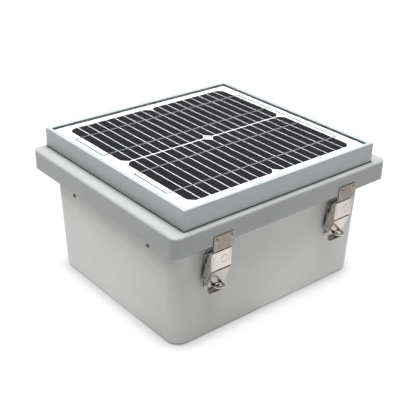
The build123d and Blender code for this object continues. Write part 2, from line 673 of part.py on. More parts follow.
def frame_rail(profile_plane, length):
    """Mitred rail: the profile plane has local x inwards, local y up and its normal along the rail."""
    shelf = BACKSHEET_BOTTOM - PANEL_BOTTOM
    height = PANEL_TOP - PANEL_BOTTOM
    with BuildPart() as rail:
        with BuildSketch(profile_plane):
            with BuildLine():
                Polyline(
                    (0, 0),
                    (FRAME_FOOT, 0),
                    (FRAME_FOOT, FRAME_WALL),
                    (FRAME_WALL, FRAME_WALL),
                    (FRAME_WALL, shelf - FRAME_WALL),
                    (FRAME_LIP, shelf - FRAME_WALL),
                    (FRAME_LIP, shelf),
                    (FRAME_WALL, shelf),
                    (FRAME_WALL, height - FRAME_LIP_THICKNESS),
                    (FRAME_LIP, height - FRAME_LIP_THICKNESS),
                    (FRAME_LIP, height - 0.5),
                    (FRAME_LIP - 0.5, height),
                    (0.5, height),
                    (0, height - 0.5),
                    close=True,
                )
            make_face()
        extrude(amount=length / 2, both=True)
        for end in (-1, 1):
            corner = profile_plane.from_local_coords((0, 0, end * length / 2))
            outward = profile_plane.x_dir + profile_plane.z_dir * end
            split(bisect_by=Plane(origin=corner, z_dir=outward), keep=Keep.BOTTOM)
    return rail


PANEL_X, PANEL_Y = PANEL_MIDDLE
rail_planes = {
    "front": Plane(origin=(PANEL_X, PANEL_Y - FRAME_FACE_Y, PANEL_BOTTOM), x_dir=(0, 1, 0), z_dir=(1, 0, 0)),
    "back": Plane(origin=(PANEL_X, PANEL_Y + FRAME_FACE_Y, PANEL_BOTTOM), x_dir=(0, -1, 0), z_dir=(-1, 0, 0)),
    "left": Plane(origin=(PANEL_X - FRAME_FACE_X, PANEL_Y, PANEL_BOTTOM), x_dir=(1, 0, 0), z_dir=(0, -1, 0)),
    "right": Plane(origin=(PANEL_X + FRAME_FACE_X, PANEL_Y, PANEL_BOTTOM), x_dir=(-1, 0, 0), z_dir=(0, 1, 0)),
}
for side in ("front", "back"):
    rail = frame_rail(rail_planes[side], PANEL_LENGTH)
    rail.part.label = f"panel_frame_{side}"
    export_step(rail.part, f"parts/panel_frame_{side}.step")
for side in ("left", "right"):
    solid_rail = frame_rail(rail_planes[side], PANEL_DEPTH)
    with BuildPart() as rail:
        add(solid_rail.part)
        with Locations(panel_plane(PANEL_BOTTOM)):
            with GridLocations(2 * PANEL_SCREW_X, 2 * PANEL_SCREW_Y, 2, 2):
                Cylinder(PANEL_SCREW_SHANK + RUNNING_CLEARANCE, 4 * FRAME_WALL, mode=Mode.SUBTRACT)
    rail.part.label = f"panel_frame_{side}"
    export_step(rail.part, f"parts/panel_frame_{side}.step")

KEY_LEG = 30.0
KEY_WIDTH = 8.0
KEY_HEIGHT = 12.0
with BuildPart() as panel_corner_keys:
    for x_sign in (-1, 1):
        for y_sign in (-1, 1):
            corner_x = x_sign * (FRAME_FACE_X - FRAME_WALL)
            corner_y = y_sign * (FRAME_FACE_Y - FRAME_WALL)
            with BuildSketch(panel_plane(PANEL_BOTTOM + FRAME_WALL)):
                with Locations((corner_x - x_sign * KEY_LEG / 2, corner_y - y_sign * KEY_WIDTH / 2)):
                    Rectangle(KEY_LEG, KEY_WIDTH)
                with Locations((corner_x - x_sign * KEY_WIDTH / 2, corner_y - y_sign * KEY_LEG / 2)):
                    Rectangle(KEY_WIDTH, KEY_LEG)
            extrude(amount=KEY_HEIGHT)
panel_corner_keys.part.label = "panel_corner_keys"
export_step(panel_corner_keys.part, "parts/panel_corner_keys.step")

with BuildPart() as panel_glass:
    with BuildSketch(panel_plane(GLASS_BOTTOM)):
        Rectangle(LAMINATE_LENGTH, LAMINATE_DEPTH)
    extrude(amount=GLASS_THICKNESS)
panel_glass.part.label = "panel_glass"
export_step(panel_glass.part, "parts/panel_glass.step")

with BuildPart() as panel_backsheet:
    with BuildSketch(panel_plane(BACKSHEET_BOTTOM)):
        Rectangle(LAMINATE_LENGTH, LAMINATE_DEPTH)
    extrude(amount=BACKSHEET_THICKNESS)
panel_backsheet.part.label = "panel_backsheet"
export_step(panel_backsheet.part, "parts/panel_backsheet.step")

STRIP_PITCH = STRIP_WIDTH + STRIP_GAP
WAFER_SPAN = STRIPS_PER_WAFER * STRIP_PITCH - STRIP_GAP
WAFER_X = (WAFER_SPAN + STRIP_GAP) / 2
WAFER_Y = (WAFER + WAFER_SEAM) / 2
with BuildPart() as solar_cells:
    for wafer_x in (-WAFER_X, WAFER_X):
        for wafer_y in (-WAFER_Y, WAFER_Y):
            with BuildSketch(panel_plane(CELL_BOTTOM, ARRAY_SHIFT)):
                with Locations((wafer_x, wafer_y)):
                    Circle(WAFER_CIRCLE / 2)
                    Rectangle(WAFER_SPAN, WAFER, mode=Mode.INTERSECT)
                for gap in range(1, STRIPS_PER_WAFER):
                    gap_x = wafer_x - WAFER_SPAN / 2 + gap * STRIP_PITCH - STRIP_GAP / 2
                    with Locations((gap_x, wafer_y)):
                        Rectangle(STRIP_GAP, WAFER + 1, mode=Mode.SUBTRACT)
            extrude(amount=CELL_THICKNESS)
solar_cells.part.label = "solar_cells"
export_step(solar_cells.part, "parts/solar_cells.step")

ARRAY_HALF = WAFER_X + WAFER_SPAN / 2
LEFT_LINK = ARRAY_HALF + 7.4
RIGHT_LINK = ARRAY_HALF + 5.0
busbar_rows = [sign * WAFER_Y + offset for sign in (-1, 1) for offset in (-WAFER / 4, WAFER / 4)]
LINK_WIDTH = 2.4
with BuildPart() as cell_ribbons:
    with BuildSketch(panel_plane(RIBBON_BOTTOM, ARRAY_SHIFT)):
        for row in busbar_rows:
            with Locations(((RIGHT_LINK - LEFT_LINK) / 2, row)):
                Rectangle(LEFT_LINK + RIGHT_LINK, BUSBAR_WIDTH)
        for sign in (-1, 1):
            with Locations((-LEFT_LINK - LINK_WIDTH / 2, sign * WAFER_Y)):
                Rectangle(LINK_WIDTH, WAFER / 2 + BUSBAR_WIDTH)
        with Locations((RIGHT_LINK + LINK_WIDTH / 2, 0)):
            Rectangle(LINK_WIDTH, 2 * max(busbar_rows) + BUSBAR_WIDTH)
    extrude(amount=RIBBON_THICKNESS)
cell_ribbons.part.label = "cell_ribbons"
export_step(cell_ribbons.part, "parts/cell_ribbons.step")

SEAL_INSET = 1.6
SEAL_WIDTH = 10.0
with BuildPart() as panel_seal:
    with BuildSketch(panel_plane(LID_TOP)):
        Rectangle(PANEL_LENGTH - 2 * SEAL_INSET, PANEL_DEPTH - 2 * SEAL_INSET)
        Rectangle(
            PANEL_LENGTH - 2 * (SEAL_INSET + SEAL_WIDTH),
            PANEL_DEPTH - 2 * (SEAL_INSET + SEAL_WIDTH),
            mode=Mode.SUBTRACT,
        )
    extrude(amount=PANEL_BOTTOM - LID_TOP)
    with Locations(panel_plane(LID_TOP)):
        with GridLocations(2 * PANEL_SCREW_X, 2 * PANEL_SCREW_Y, 2, 2):
            Cylinder(PANEL_SCREW_SHANK + 0.5, 8.0, mode=Mode.SUBTRACT)
panel_seal.part.label = "panel_seal"
export_step(panel_seal.part, "parts/panel_seal.step")

screw_spots = [
    (PANEL_X + x, PANEL_Y + y)
    for x in (-PANEL_SCREW_X, PANEL_SCREW_X)
    for y in (-PANEL_SCREW_Y, PANEL_SCREW_Y)
]
SCREW_REACH = PANEL_BOTTOM + FRAME_WALL + 6.0 - LID_INSIDE
panel_screws = screw_group(
    [Plane(origin=(x, y, LID_INSIDE), x_dir=(1, 0, 0), z_dir=(0, 0, -1)) for x, y in screw_spots],
    PANEL_SCREW_SHANK,
    SCREW_REACH,
    head=4.8,
    head_height=2.8,
)
panel_screws.part.label = "panel_screws"
export_step(panel_screws.part, "parts/panel_screws.step")

BOX_LENGTH = 62.0
BOX_DEPTH = 46.0
BOX_HEIGHT = 13.0
BOX_LID = 2.0
BOX_CENTRE = (0.0, 60.0)
BOX_BOTTOM = BACKSHEET_BOTTOM - BOX_HEIGHT
with BuildPart() as junction_box:
    with BuildSketch(Plane.XY.offset(BOX_BOTTOM + BOX_LID)):
        with Locations(BOX_CENTRE):
            RectangleRounded(BOX_LENGTH, BOX_DEPTH, 4.0)
    extrude(amount=BOX_HEIGHT - BOX_LID)
    with BuildSketch(Plane.XY.offset(BOX_BOTTOM + BOX_LID)):
        with Locations(BOX_CENTRE):
            RectangleRounded(BOX_LENGTH - 4, BOX_DEPTH - 4, 2.5)
    extrude(amount=BOX_HEIGHT - BOX_LID - 1.5, mode=Mode.SUBTRACT)
junction_box.part.label = "junction_box"
export_step(junction_box.part, "parts/junction_box.step")

with BuildPart() as junction_box_lid:
    with BuildSketch(Plane.XY.offset(BOX_BOTTOM)):
        with Locations(BOX_CENTRE):
            RectangleRounded(BOX_LENGTH, BOX_DEPTH, 4.0)
    extrude(amount=BOX_LID)
junction_box_lid.part.label = "junction_box_lid"
export_step(junction_box_lid.part, "parts/junction_box_lid.step")

LEAD_RADIUS = 2.2
LEAD_BEND = 8.0
LEAD_LEVEL = 179.0
PLUG_RADIUS = 4.5
PLUG_LENGTH = 15.0
PLUG_TOP = 152.0
with BuildPart() as panel_lead:
    with BuildLine() as lead_path:
        FilletPolyline(
            (BOX_CENTRE[0], BOX_CENTRE[1] + BOX_DEPTH / 2 + 0.5, LEAD_LEVEL),
            (GROMMET_PLACE[0], GROMMET_PLACE[1], LEAD_LEVEL),
            (GROMMET_PLACE[0], GROMMET_PLACE[1], PLUG_TOP - 1.0),
            radius=LEAD_BEND,
        )
    with BuildSketch(Plane(origin=lead_path.line @ 0, z_dir=lead_path.line % 0)):
        Circle(LEAD_RADIUS)
    sweep()
    with Locations((*GROMMET_PLACE, PLUG_TOP)):
        Cylinder(PLUG_RADIUS, PLUG_LENGTH, align=BELOW)
panel_lead.part.label = "panel_lead"
export_step(panel_lead.part, "parts/panel_lead.step")

grommet_profile = [
    (LEAD_RADIUS + 0.8, -LID_WALL - 1.8),
    (GROMMET_BORE + 2.5, -LID_WALL - 1.8),
    (GROMMET_BORE + 2.5, -LID_WALL - 0.05),
    (GROMMET_BORE - RUNNING_CLEARANCE, -LID_WALL - 0.05),
    (GROMMET_BORE - RUNNING_CLEARANCE, 0.05),
    (GROMMET_BORE + 2.5, 0.05),
    (GROMMET_BORE + 2.5, 1.8),
    (LEAD_RADIUS + 0.8, 1.8),
]
lead_grommet = turned_group([Plane(origin=(*GROMMET_PLACE, LID_TOP))], grommet_profile)
lead_grommet.part.label = "lead_grommet"
export_step(lead_grommet.part, "parts/lead_grommet.step")

# ---------------------------------------------------------------- terminals on the right wall
STUD_RADIUS = 4.0
STUD_TIP_RADIUS = 3.5
STUD_OUT = 41.0
STUD_IN = 20.0
INSULATOR_FLANGE = 12.0
INSULATOR_OUT = 6.0
INSULATOR_IN = 3.0
JAM_NUT_RADIUS = 7.4
JAM_NUT_HEIGHT = 4.0
KNOB_START = INSULATOR_OUT + JAM_NUT_HEIGHT + 2.0
KNOB_HEIGHT = 17.0
KNOB_RADIUS = 12.5
KNOB_FLUTES = 10
terminal_places = {"fence": fence_place, "ground": ground_place}
INSIDE_FACE = -BODY_WALL
STUD_BORE = STUD_RADIUS + RUNNING_CLEARANCE

stud_profile = [
    (0, -STUD_IN),
    (STUD_RADIUS, -STUD_IN),
    (STUD_RADIUS, KNOB_START + KNOB_HEIGHT + 1.0),
    (STUD_TIP_RADIUS, KNOB_START + KNOB_HEIGHT + 1.0),
    (STUD_TIP_RADIUS, STUD_OUT - 1.0),
    (STUD_TIP_RADIUS - 1.0, STUD_OUT),
    (0, STUD_OUT),
]
terminal_studs = turned_group(terminal_places.values(), stud_profile)
terminal_studs.part.label = "terminal_studs"
export_step(terminal_studs.part, "parts/terminal_studs.step")

insulator_profile = [
    (STUD_BORE, INSIDE_FACE + 0.5),
    (TERMINAL_SLEEVE, INSIDE_FACE + 0.5),
    (TERMINAL_SLEEVE, 0.05),
    (INSULATOR_FLANGE, 0.05),
    (INSULATOR_FLANGE, 0.6 * INSULATOR_OUT),
    (0.8 * INSULATOR_FLANGE, INSULATOR_OUT),
    (STUD_BORE, INSULATOR_OUT),
]
terminal_insulators = turned_group(terminal_places.values(), insulator_profile)
terminal_insulators.part.label = "terminal_insulators"
export_step(terminal_insulators.part, "parts/terminal_insulators.step")

inner_insulator_profile = [
    (STUD_BORE, INSIDE_FACE - INSULATOR_IN),
    (INSULATOR_FLANGE, INSIDE_FACE - INSULATOR_IN),
    (INSULATOR_FLANGE, INSIDE_FACE - 0.05),
    (STUD_BORE, INSIDE_FACE - 0.05),
]
inner_insulators = turned_group(terminal_places.values(), inner_insulator_profile)
inner_insulators.part.label = "inner_insulators"
export_step(inner_insulators.part, "parts/inner_insulators.step")

for use, place in terminal_places.items():
    with BuildPart() as knob:
        with BuildSketch(place.offset(KNOB_START)):
            Circle(KNOB_RADIUS)
            with PolarLocations(KNOB_RADIUS + 1.6, KNOB_FLUTES):
                Circle(3.0, mode=Mode.SUBTRACT)
        extrude(amount=KNOB_HEIGHT)
        fillet(knob.faces().sort_by(Axis(place.origin, place.z_dir))[-1].edges(), 1.4)
        with BuildSketch(place.offset(KNOB_START)):
            Circle(STUD_BORE)
        extrude(amount=KNOB_HEIGHT, mode=Mode.SUBTRACT)
    knob.part.label = f"{use}_terminal_knob"
    export_step(knob.part, f"parts/{use}_terminal_knob.step")

with BuildPart() as terminal_nuts:
    for place in terminal_places.values():
        for start in (
            INSULATOR_OUT,
            INSIDE_FACE - INSULATOR_IN - JAM_NUT_HEIGHT,
            -STUD_IN + 1.0,
        ):
            with BuildSketch(place.offset(start)):
                RegularPolygon(JAM_NUT_RADIUS, 6)
                Circle(STUD_BORE, mode=Mode.SUBTRACT)
            extrude(amount=JAM_NUT_HEIGHT)
terminal_nuts.part.label = "terminal_nuts"
export_step(terminal_nuts.part, "parts/terminal_nuts.step")

# ---------------------------------------------------------------- power switch and indicator
BEZEL = (18.0, 26.0)
BEZEL_THICKNESS = 1.6
HOUSING_DEPTH = 17.0
ROCKER_CAVITY = (11.0, 19.4)
ROCKER_HALF_WIDTH = 5.1
ROCKER_PIVOT_DEPTH = 2.0
ROCKER_TILT = 9.0
TRUNNION_RADIUS = 1.5
TRUNNION_REACH = 6.6

rocker_axis = Axis((switch_place.offset(-ROCKER_PIVOT_DEPTH)).origin, switch_place.x_dir)
trunnion_plane = Plane(origin=rocker_axis.position, x_dir=switch_place.y_dir, z_dir=switch_place.x_dir)

with BuildPart() as switch_housing:
    with BuildSketch(switch_place.offset(0.05)):
        RectangleRounded(*BEZEL, 2.0)
    extrude(amount=BEZEL_THICKNESS)
    with BuildSketch(switch_place):
        Rectangle(SWITCH_CUTOUT[0] - 0.4, SWITCH_CUTOUT[1] - 0.4)
    extrude(amount=-HOUSING_DEPTH)
    with BuildSketch(switch_place):
        Rectangle(SWITCH_CUTOUT[0] - 0.4, SWITCH_CUTOUT[1] - 0.4)
    extrude(amount=0.1)
    with BuildSketch(switch_place.offset(2 * BEZEL_THICKNESS)):
        Rectangle(*ROCKER_CAVITY)
    extrude(amount=-(2 * BEZEL_THICKNESS + 9.0), mode=Mode.SUBTRACT)
    for side in (-1, 1):
        with BuildSketch(switch_place.offset(-HOUSING_DEPTH)):
            with Locations((0, side * 6.0)):
                Rectangle(6.3, 0.8)
        extrude(amount=-8.0)
    with BuildSketch(trunnion_plane):
        Circle(TRUNNION_RADIUS + RUNNING_CLEARANCE)
    extrude(amount=SWITCH_CUTOUT[0], both=True, mode=Mode.SUBTRACT)
switch_housing.part.label = "switch_housing"
export_step(switch_housing.part, "parts/switch_housing.step")

with BuildPart() as switch_rocker:
    rocker_side = Plane(
        origin=rocker_axis.position,
        x_dir=switch_place.y_dir.rotate(rocker_axis, ROCKER_TILT),
        z_dir=switch_place.x_dir,
    )
    with BuildSketch(rocker_side):
        with BuildLine():
            Polyline((-8.4, -2.4), (8.4, -2.4), (8.9, 5.4))
            ThreePointArc((8.9, 5.4), (0, 3.4), (-8.9, 5.4))
            Line((-8.9, 5.4), (-8.4, -2.4))
        make_face()
    extrude(amount=ROCKER_HALF_WIDTH, both=True)
    with BuildSketch(trunnion_plane):
        Circle(TRUNNION_RADIUS)
    extrude(amount=TRUNNION_REACH, both=True)
switch_rocker.part.label = "switch_rocker"
export_step(switch_rocker.part, "parts/switch_rocker.step")

LAMP_HEAD = 6.0
lamp_bezel_profile = [
    (LAMP_BARREL - 1.2, -8.0),
    (LAMP_BARREL, -8.0),
    (LAMP_BARREL, 0.05),
    (LAMP_HEAD, 0.05),
    (LAMP_HEAD, 1.2),
    (LAMP_HEAD - 1.2, 2.0),
    (LAMP_BARREL - 1.2, 2.0),
]
indicator_bezel = turned_group([lamp_place], lamp_bezel_profile)
indicator_bezel.part.label = "indicator_bezel"
export_step(indicator_bezel.part, "parts/indicator_bezel.step")

LENS_RADIUS = LAMP_BARREL - 1.25
lens_profile = [
    (0, -5.0),
    (LENS_RADIUS, -5.0),
    (LENS_RADIUS, 2.4),
    (0.8 * LENS_RADIUS, 3.6),
    (0.4 * LENS_RADIUS, 4.3),
    (0, 4.5),
]
indicator_lens = turned_group([lamp_place], lens_profile)
indicator_lens.part.label = "indicator_lens"
export_step(indicator_lens.part, "parts/indicator_lens.step")

# ---------------------------------------------------------------- works inside the body
PLATE_BOTTOM = BODY_WALL + BOSS_HEIGHT
PLATE_LENGTH = 276.0
PLATE_DEPTH = 226.0
BATTERY_SIZE = (151.0, 65.0, 94.0)
BATTERY_CENTRE = (-52.0, 62.0)
BATTERY_TAB_X = 68.0
BATTERY_TAB_Y = 24.0
BRACKET_SHEET = 1.5
BRACKET_WIDTH = 22.0
BOARD_SIZE = (150.0, 105.0)
BOARD_CENTRE = (-55.0, -48.0)
BOARD_STANDOFF = 12.0
BOARD_THICKNESS = 1.6
BOARD_BOTTOM = PLATE_TOP + BOARD_STANDOFF
BOARD_TOP = BOARD_BOTTOM + BOARD_THICKNESS
board_corners = [
    (BOARD_CENTRE[0] + x * (BOARD_SIZE[0] / 2 - 6), BOARD_CENTRE[1] + y * (BOARD_SIZE[1] / 2 - 6))
    for x in (-1, 1)
    for y in (-1, 1)
]
M3 = 1.5
DEVICE_HEIGHT = 16.0
TRANSFORMER_CENTRE = (92.0, 58.0)
CORE_SIZE = (66.0, 34.0, 56.0)
COIL_SIZE = (54.0, 54.0, 36.0)
CONTROLLER_SIZE = (66.0, 92.0, 24.0)
CONTROLLER_CENTRE = (86.0, -52.0)
foot_spots = [
    (BATTERY_CENTRE[0], BATTERY_CENTRE[1] + side * (BATTERY_SIZE[1] / 2 + 9.0)) for side in (-1, 1)
]

with BuildPart() as mounting_plate:
    with BuildSketch(Plane.XY.offset(PLATE_BOTTOM)):
        RectangleRounded(PLATE_LENGTH, PLATE_DEPTH, 12.0)
        with GridLocations(2 * PLATE_SCREW_X, 2 * PLATE_SCREW_Y, 2, 2):
            Circle(PLATE_SCREW_HOLE_RADIUS, mode=Mode.SUBTRACT)
        with Locations(*foot_spots):
            Circle(PLATE_SCREW_HOLE_RADIUS, mode=Mode.SUBTRACT)
    extrude(amount=PLATE_THICKNESS)
mounting_plate.part.label = "mounting_plate"
export_step(mounting_plate.part, "parts/mounting_plate.step")

plate_corners = [(x, y) for x in (-PLATE_SCREW_X, PLATE_SCREW_X) for y in (-PLATE_SCREW_Y, PLATE_SCREW_Y)]
screw_planes = [Plane(origin=(x, y, PLATE_TOP)) for x, y in plate_corners]
screw_planes += [Plane(origin=(x, y, PLATE_TOP + BRACKET_SHEET)) for x, y in foot_spots]
plate_screws = screw_group(screw_planes, PLATE_SCREW_SHANK, reach=7.6, head=3.8, head_height=2.4)
plate_screws.part.label = "plate_screws"
export_step(plate_screws.part, "parts/plate_screws.step")

BATTERY_TOP = PLATE_TOP + BATTERY_SIZE[2]
TAB_HEIGHT = 6.3
tab_spots = [(BATTERY_CENTRE[0] + BATTERY_TAB_X, BATTERY_CENTRE[1] + side * BATTERY_TAB_Y) for side in (-1, 1)]
with BuildPart() as battery:
    with BuildSketch(Plane.XY.offset(PLATE_TOP)):
        with Locations(BATTERY_CENTRE):
            RectangleRounded(BATTERY_SIZE[0], BATTERY_SIZE[1], 2.5)
    extrude(amount=BATTERY_SIZE[2])
    fillet(battery.edges().group_by(Axis.Z)[-1], 1.5)
    with BuildSketch(Plane.XY.offset(BATTERY_TOP)):
        with Locations(*tab_spots):
            Rectangle(0.8, 4.8)
    extrude(amount=TAB_HEIGHT)
battery.part.label = "battery"
export_step(battery.part, "parts/battery.step")

bracket_inner = BATTERY_SIZE[1] / 2 + 0.3
bracket_top = BATTERY_TOP + 0.3
with BuildPart() as battery_bracket:
    across = Plane(origin=(BATTERY_CENTRE[0], BATTERY_CENTRE[1], 0), x_dir=(0, 1, 0), z_dir=(1, 0, 0))
    outer_reach = bracket_inner + 15.0
    with BuildSketch(across):
        with BuildLine():
            Polyline(
                (-outer_reach, PLATE_TOP),
                (-bracket_inner, PLATE_TOP),
                (-bracket_inner, bracket_top),
                (bracket_inner, bracket_top),
                (bracket_inner, PLATE_TOP),
                (outer_reach, PLATE_TOP),
                (outer_reach, PLATE_TOP + BRACKET_SHEET),
                (bracket_inner + BRACKET_SHEET, PLATE_TOP + BRACKET_SHEET),
                (bracket_inner + BRACKET_SHEET, bracket_top + BRACKET_SHEET),
                (-bracket_inner - BRACKET_SHEET, bracket_top + BRACKET_SHEET),
                (-bracket_inner - BRACKET_SHEET, PLATE_TOP + BRACKET_SHEET),
                (-outer_reach, PLATE_TOP + BRACKET_SHEET),
                close=True,
            )
        make_face()
    extrude(amount=BRACKET_WIDTH / 2, both=True)
    with Locations(*[(x, y, PLATE_TOP) for x, y in foot_spots]):
        Cylinder(PLATE_SCREW_HOLE_RADIUS, 4 * BRACKET_SHEET, mode=Mode.SUBTRACT)
battery_bracket.part.label = "battery_bracket"
export_step(battery_bracket.part, "parts/battery_bracket.step")

with BuildPart() as board_standoffs:
    with BuildSketch(Plane.XY.offset(PLATE_TOP)):
        with Locations(*board_corners):
            RegularPolygon(3.4, 6)
            Circle(M3 + RUNNING_CLEARANCE, mode=Mode.SUBTRACT)
    extrude(amount=BOARD_STANDOFF)
board_standoffs.part.label = "board_standoffs"
export_step(board_standoffs.part, "parts/board_standoffs.step")

with BuildPart() as circuit_board:
    with BuildSketch(Plane.XY.offset(BOARD_BOTTOM)):
        with Locations(BOARD_CENTRE):
            RectangleRounded(*BOARD_SIZE, 3.0)
        with Locations(*board_corners):
            Circle(M3 + RUNNING_CLEARANCE, mode=Mode.SUBTRACT)
    extrude(amount=BOARD_THICKNESS)
    with BuildSketch(Plane.XY.offset(BOARD_TOP)):
        with Locations((BOARD_CENTRE[0] - 40.0, BOARD_CENTRE[1] + 26.0)):
            Rectangle(50.0, 3.0)
            with GridLocations(6.0, 0, 8, 1):
                Rectangle(1.6, 18.0)
        with Locations((BOARD_CENTRE[0] + 18.0, BOARD_CENTRE[1] + 30.0)):
            Rectangle(26.0, 20.0)
        with Locations((BOARD_CENTRE[0] + 54.0, BOARD_CENTRE[1] + 28.0)):
            Rectangle(18.0, 30.0)
    extrude(amount=DEVICE_HEIGHT)
circuit_board.part.label = "circuit_board"
export_step(circuit_board.part, "parts/circuit_board.step")

board_screw_planes = [Plane(origin=(x, y, BOARD_TOP)) for x, y in board_corners]
board_screws = screw_group(board_screw_planes, M3, reach=8.0, head=2.8, head_height=2.0)
board_screws.part.label = "board_screws"
export_step(board_screws.part, "parts/board_screws.step")

CAPACITOR_RADIUS = 17.5
CAPACITOR_HEIGHT = 52.0
capacitor_spots = [(BOARD_CENTRE[0] - 42.0 + 42.0 * index, BOARD_CENTRE[1] - 22.0) for index in range(3)]
capacitor_profile = [
    (0, 0),
    (CAPACITOR_RADIUS, 0),
    (CAPACITOR_RADIUS, CAPACITOR_HEIGHT - 1.5),
    (CAPACITOR_RADIUS - 1.5, CAPACITOR_HEIGHT),
    (0, CAPACITOR_HEIGHT),
]
capacitor_planes = [Plane(origin=(x, y, BOARD_TOP)) for x, y in capacitor_spots]
storage_capacitors = turned_group(capacitor_planes, capacitor_profile)
storage_capacitors.part.label = "storage_capacitors"
export_step(storage_capacitors.part, "parts/storage_capacitors.step")

with BuildPart() as transformer_core:
    with BuildSketch(Plane.XY.offset(PLATE_TOP)):
        with Locations(TRANSFORMER_CENTRE):
            Rectangle(CORE_SIZE[0], CORE_SIZE[1])
    extrude(amount=CORE_SIZE[2])
    with Locations((*TRANSFORMER_CENTRE, PLATE_TOP + CORE_SIZE[2] / 2)):
        with GridLocations(44.0, 0, 2, 1):
            Box(12.0, CORE_SIZE[1] + 2, COIL_SIZE[2] + 2.0, mode=Mode.SUBTRACT)
transformer_core.part.label = "transformer_core"
export_step(transformer_core.part, "parts/transformer_core.step")

with BuildPart() as transformer_coil:
    with BuildSketch(Plane.XY.offset(PLATE_TOP + (CORE_SIZE[2] - COIL_SIZE[2]) / 2)):
        with Locations(TRANSFORMER_CENTRE):
            RectangleRounded(COIL_SIZE[0], COIL_SIZE[1], 7.0)
            Rectangle(32.6, CORE_SIZE[1] + 0.6, mode=Mode.SUBTRACT)
    extrude(amount=COIL_SIZE[2])
transformer_coil.part.label = "transformer_coil"
export_step(transformer_coil.part, "parts/transformer_coil.step")

with BuildPart() as charge_controller:
    with BuildSketch(Plane.XY.offset(PLATE_TOP)):
        with Locations(CONTROLLER_CENTRE):
            RectangleRounded(CONTROLLER_SIZE[0], CONTROLLER_SIZE[1], 4.0)
    extrude(amount=CONTROLLER_SIZE[2])
    fillet(charge_controller.edges().group_by(Axis.Z)[-1], 2.0)
charge_controller.part.label = "charge_controller"
export_step(charge_controller.part, "parts/charge_controller.step")

# ---------------------------------------------------------------- leads
THIN_LEAD = 1.6
tab_top = BATTERY_TOP + TAB_HEIGHT + 2.2
device_top = BOARD_TOP + DEVICE_HEIGHT + 2.4
relay_x = BOARD_CENTRE[0] + 54.0
relay_y = BOARD_CENTRE[1] + 28.0
battery_leads = {
    "red": [
        (*tab_spots[0], tab_top),
        (tab_spots[0][0] + 12, tab_spots[0][1] - 8, BATTERY_TOP),
        (tab_spots[0][0] + 12, 10, 70),
        (relay_x, relay_y + 9, device_top),
    ],
    "black": [
        (*tab_spots[1], tab_top),
        (tab_spots[1][0] + 20, tab_spots[1][1] - 6, BATTERY_TOP - 4),
        (tab_spots[1][0] + 25, 34, 72),
        (relay_x + 30, relay_y - 8, 66),
        (relay_x, relay_y - 11, device_top),
    ],
}
for colour, points in battery_leads.items():
    lead = wire(points, THIN_LEAD)
    lead.part.label = f"battery_lead_{colour}"
    export_step(lead.part, f"parts/battery_lead_{colour}.step")

coil_front = TRANSFORMER_CENTRE[1] - COIL_SIZE[1] / 2 - 2.4
stud_ends = [(place.offset(-STUD_IN - 2.4)).origin for place in (fence_place, ground_place)]
output_paths = [
    [(104, coil_front, 45), (114, 0, 58), (126, -44, 84), (stud_ends[0].X, stud_ends[0].Y + 1, stud_ends[0].Z)],
    [(84, coil_front, 48), (100, 12, 76), (124, -8, 92), (stud_ends[1].X, stud_ends[1].Y + 1, stud_ends[1].Z)],
]
with BuildPart() as output_leads:
    for points in output_paths:
        add(wire(points, THIN_LEAD).part)
output_leads.part.label = "output_leads"
export_step(output_leads.part, "parts/output_leads.step")

SOCKET_TOP = PLUG_TOP - PLUG_LENGTH - 0.6
socket_spot = (GROMMET_PLACE[0], GROMMET_PLACE[1])
solar_path = [
    (CONTROLLER_CENTRE[0] - 20, CONTROLLER_CENTRE[1] + CONTROLLER_SIZE[1] / 2 + 2.6, 28),
    (51, 22, 30),
    (50, 74, 52),
    (30, 104, 100),
    (socket_spot[0] + 2, socket_spot[1], SOCKET_TOP - 20),
    (*socket_spot, SOCKET_TOP - 12),
]
with BuildPart() as solar_lead:
    add(wire(solar_path, THIN_LEAD).part)
    with Locations((*socket_spot, SOCKET_TOP)):
        Cylinder(PLUG_RADIUS, PLUG_LENGTH, align=BELOW)
solar_lead.part.label = "solar_lead"
export_step(solar_lead.part, "parts/solar_lead.step")
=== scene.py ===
"""Looks for the solar fence energizer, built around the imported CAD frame. Metres, same frame as the CAD."""
import json
from math import copysign, cos, pi, radians, sin

import bmesh
import bpy
from mathutils import Matrix, Vector


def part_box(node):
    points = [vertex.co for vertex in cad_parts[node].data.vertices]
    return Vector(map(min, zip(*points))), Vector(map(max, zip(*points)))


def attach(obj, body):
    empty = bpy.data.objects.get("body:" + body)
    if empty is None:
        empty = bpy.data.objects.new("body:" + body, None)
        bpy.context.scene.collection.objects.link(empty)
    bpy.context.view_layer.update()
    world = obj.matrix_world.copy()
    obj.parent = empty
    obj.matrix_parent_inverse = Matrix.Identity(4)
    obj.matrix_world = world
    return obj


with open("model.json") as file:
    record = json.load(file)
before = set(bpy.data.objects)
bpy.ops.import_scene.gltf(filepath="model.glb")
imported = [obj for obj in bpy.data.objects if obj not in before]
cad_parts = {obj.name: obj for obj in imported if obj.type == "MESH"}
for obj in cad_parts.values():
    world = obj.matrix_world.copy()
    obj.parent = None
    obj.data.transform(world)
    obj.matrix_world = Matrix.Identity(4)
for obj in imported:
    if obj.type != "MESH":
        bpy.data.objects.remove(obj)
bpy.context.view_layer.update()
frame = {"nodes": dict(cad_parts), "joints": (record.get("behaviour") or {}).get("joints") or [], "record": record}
nodes = frame["nodes"]

# The enclosure's looks, with the painted light on its walls: the darker grey painted on their level faces, where
# the overhead light falls, the heights between which the painted shade of the lid deepens, how deep that shade is
# on the left wall and on the other walls, and the heights of the painted contact shadow at its foot.
LEVEL_GRP = (0.30, 0.31, 0.305)
SHADE_HEIGHTS = (0.102, 0.122)
SHADE_LEFT = 0.30
SHADE_ELSEWHERE = 0.0
FOOT_CONTACT_SHADOW = (0.0005, 0.0035)


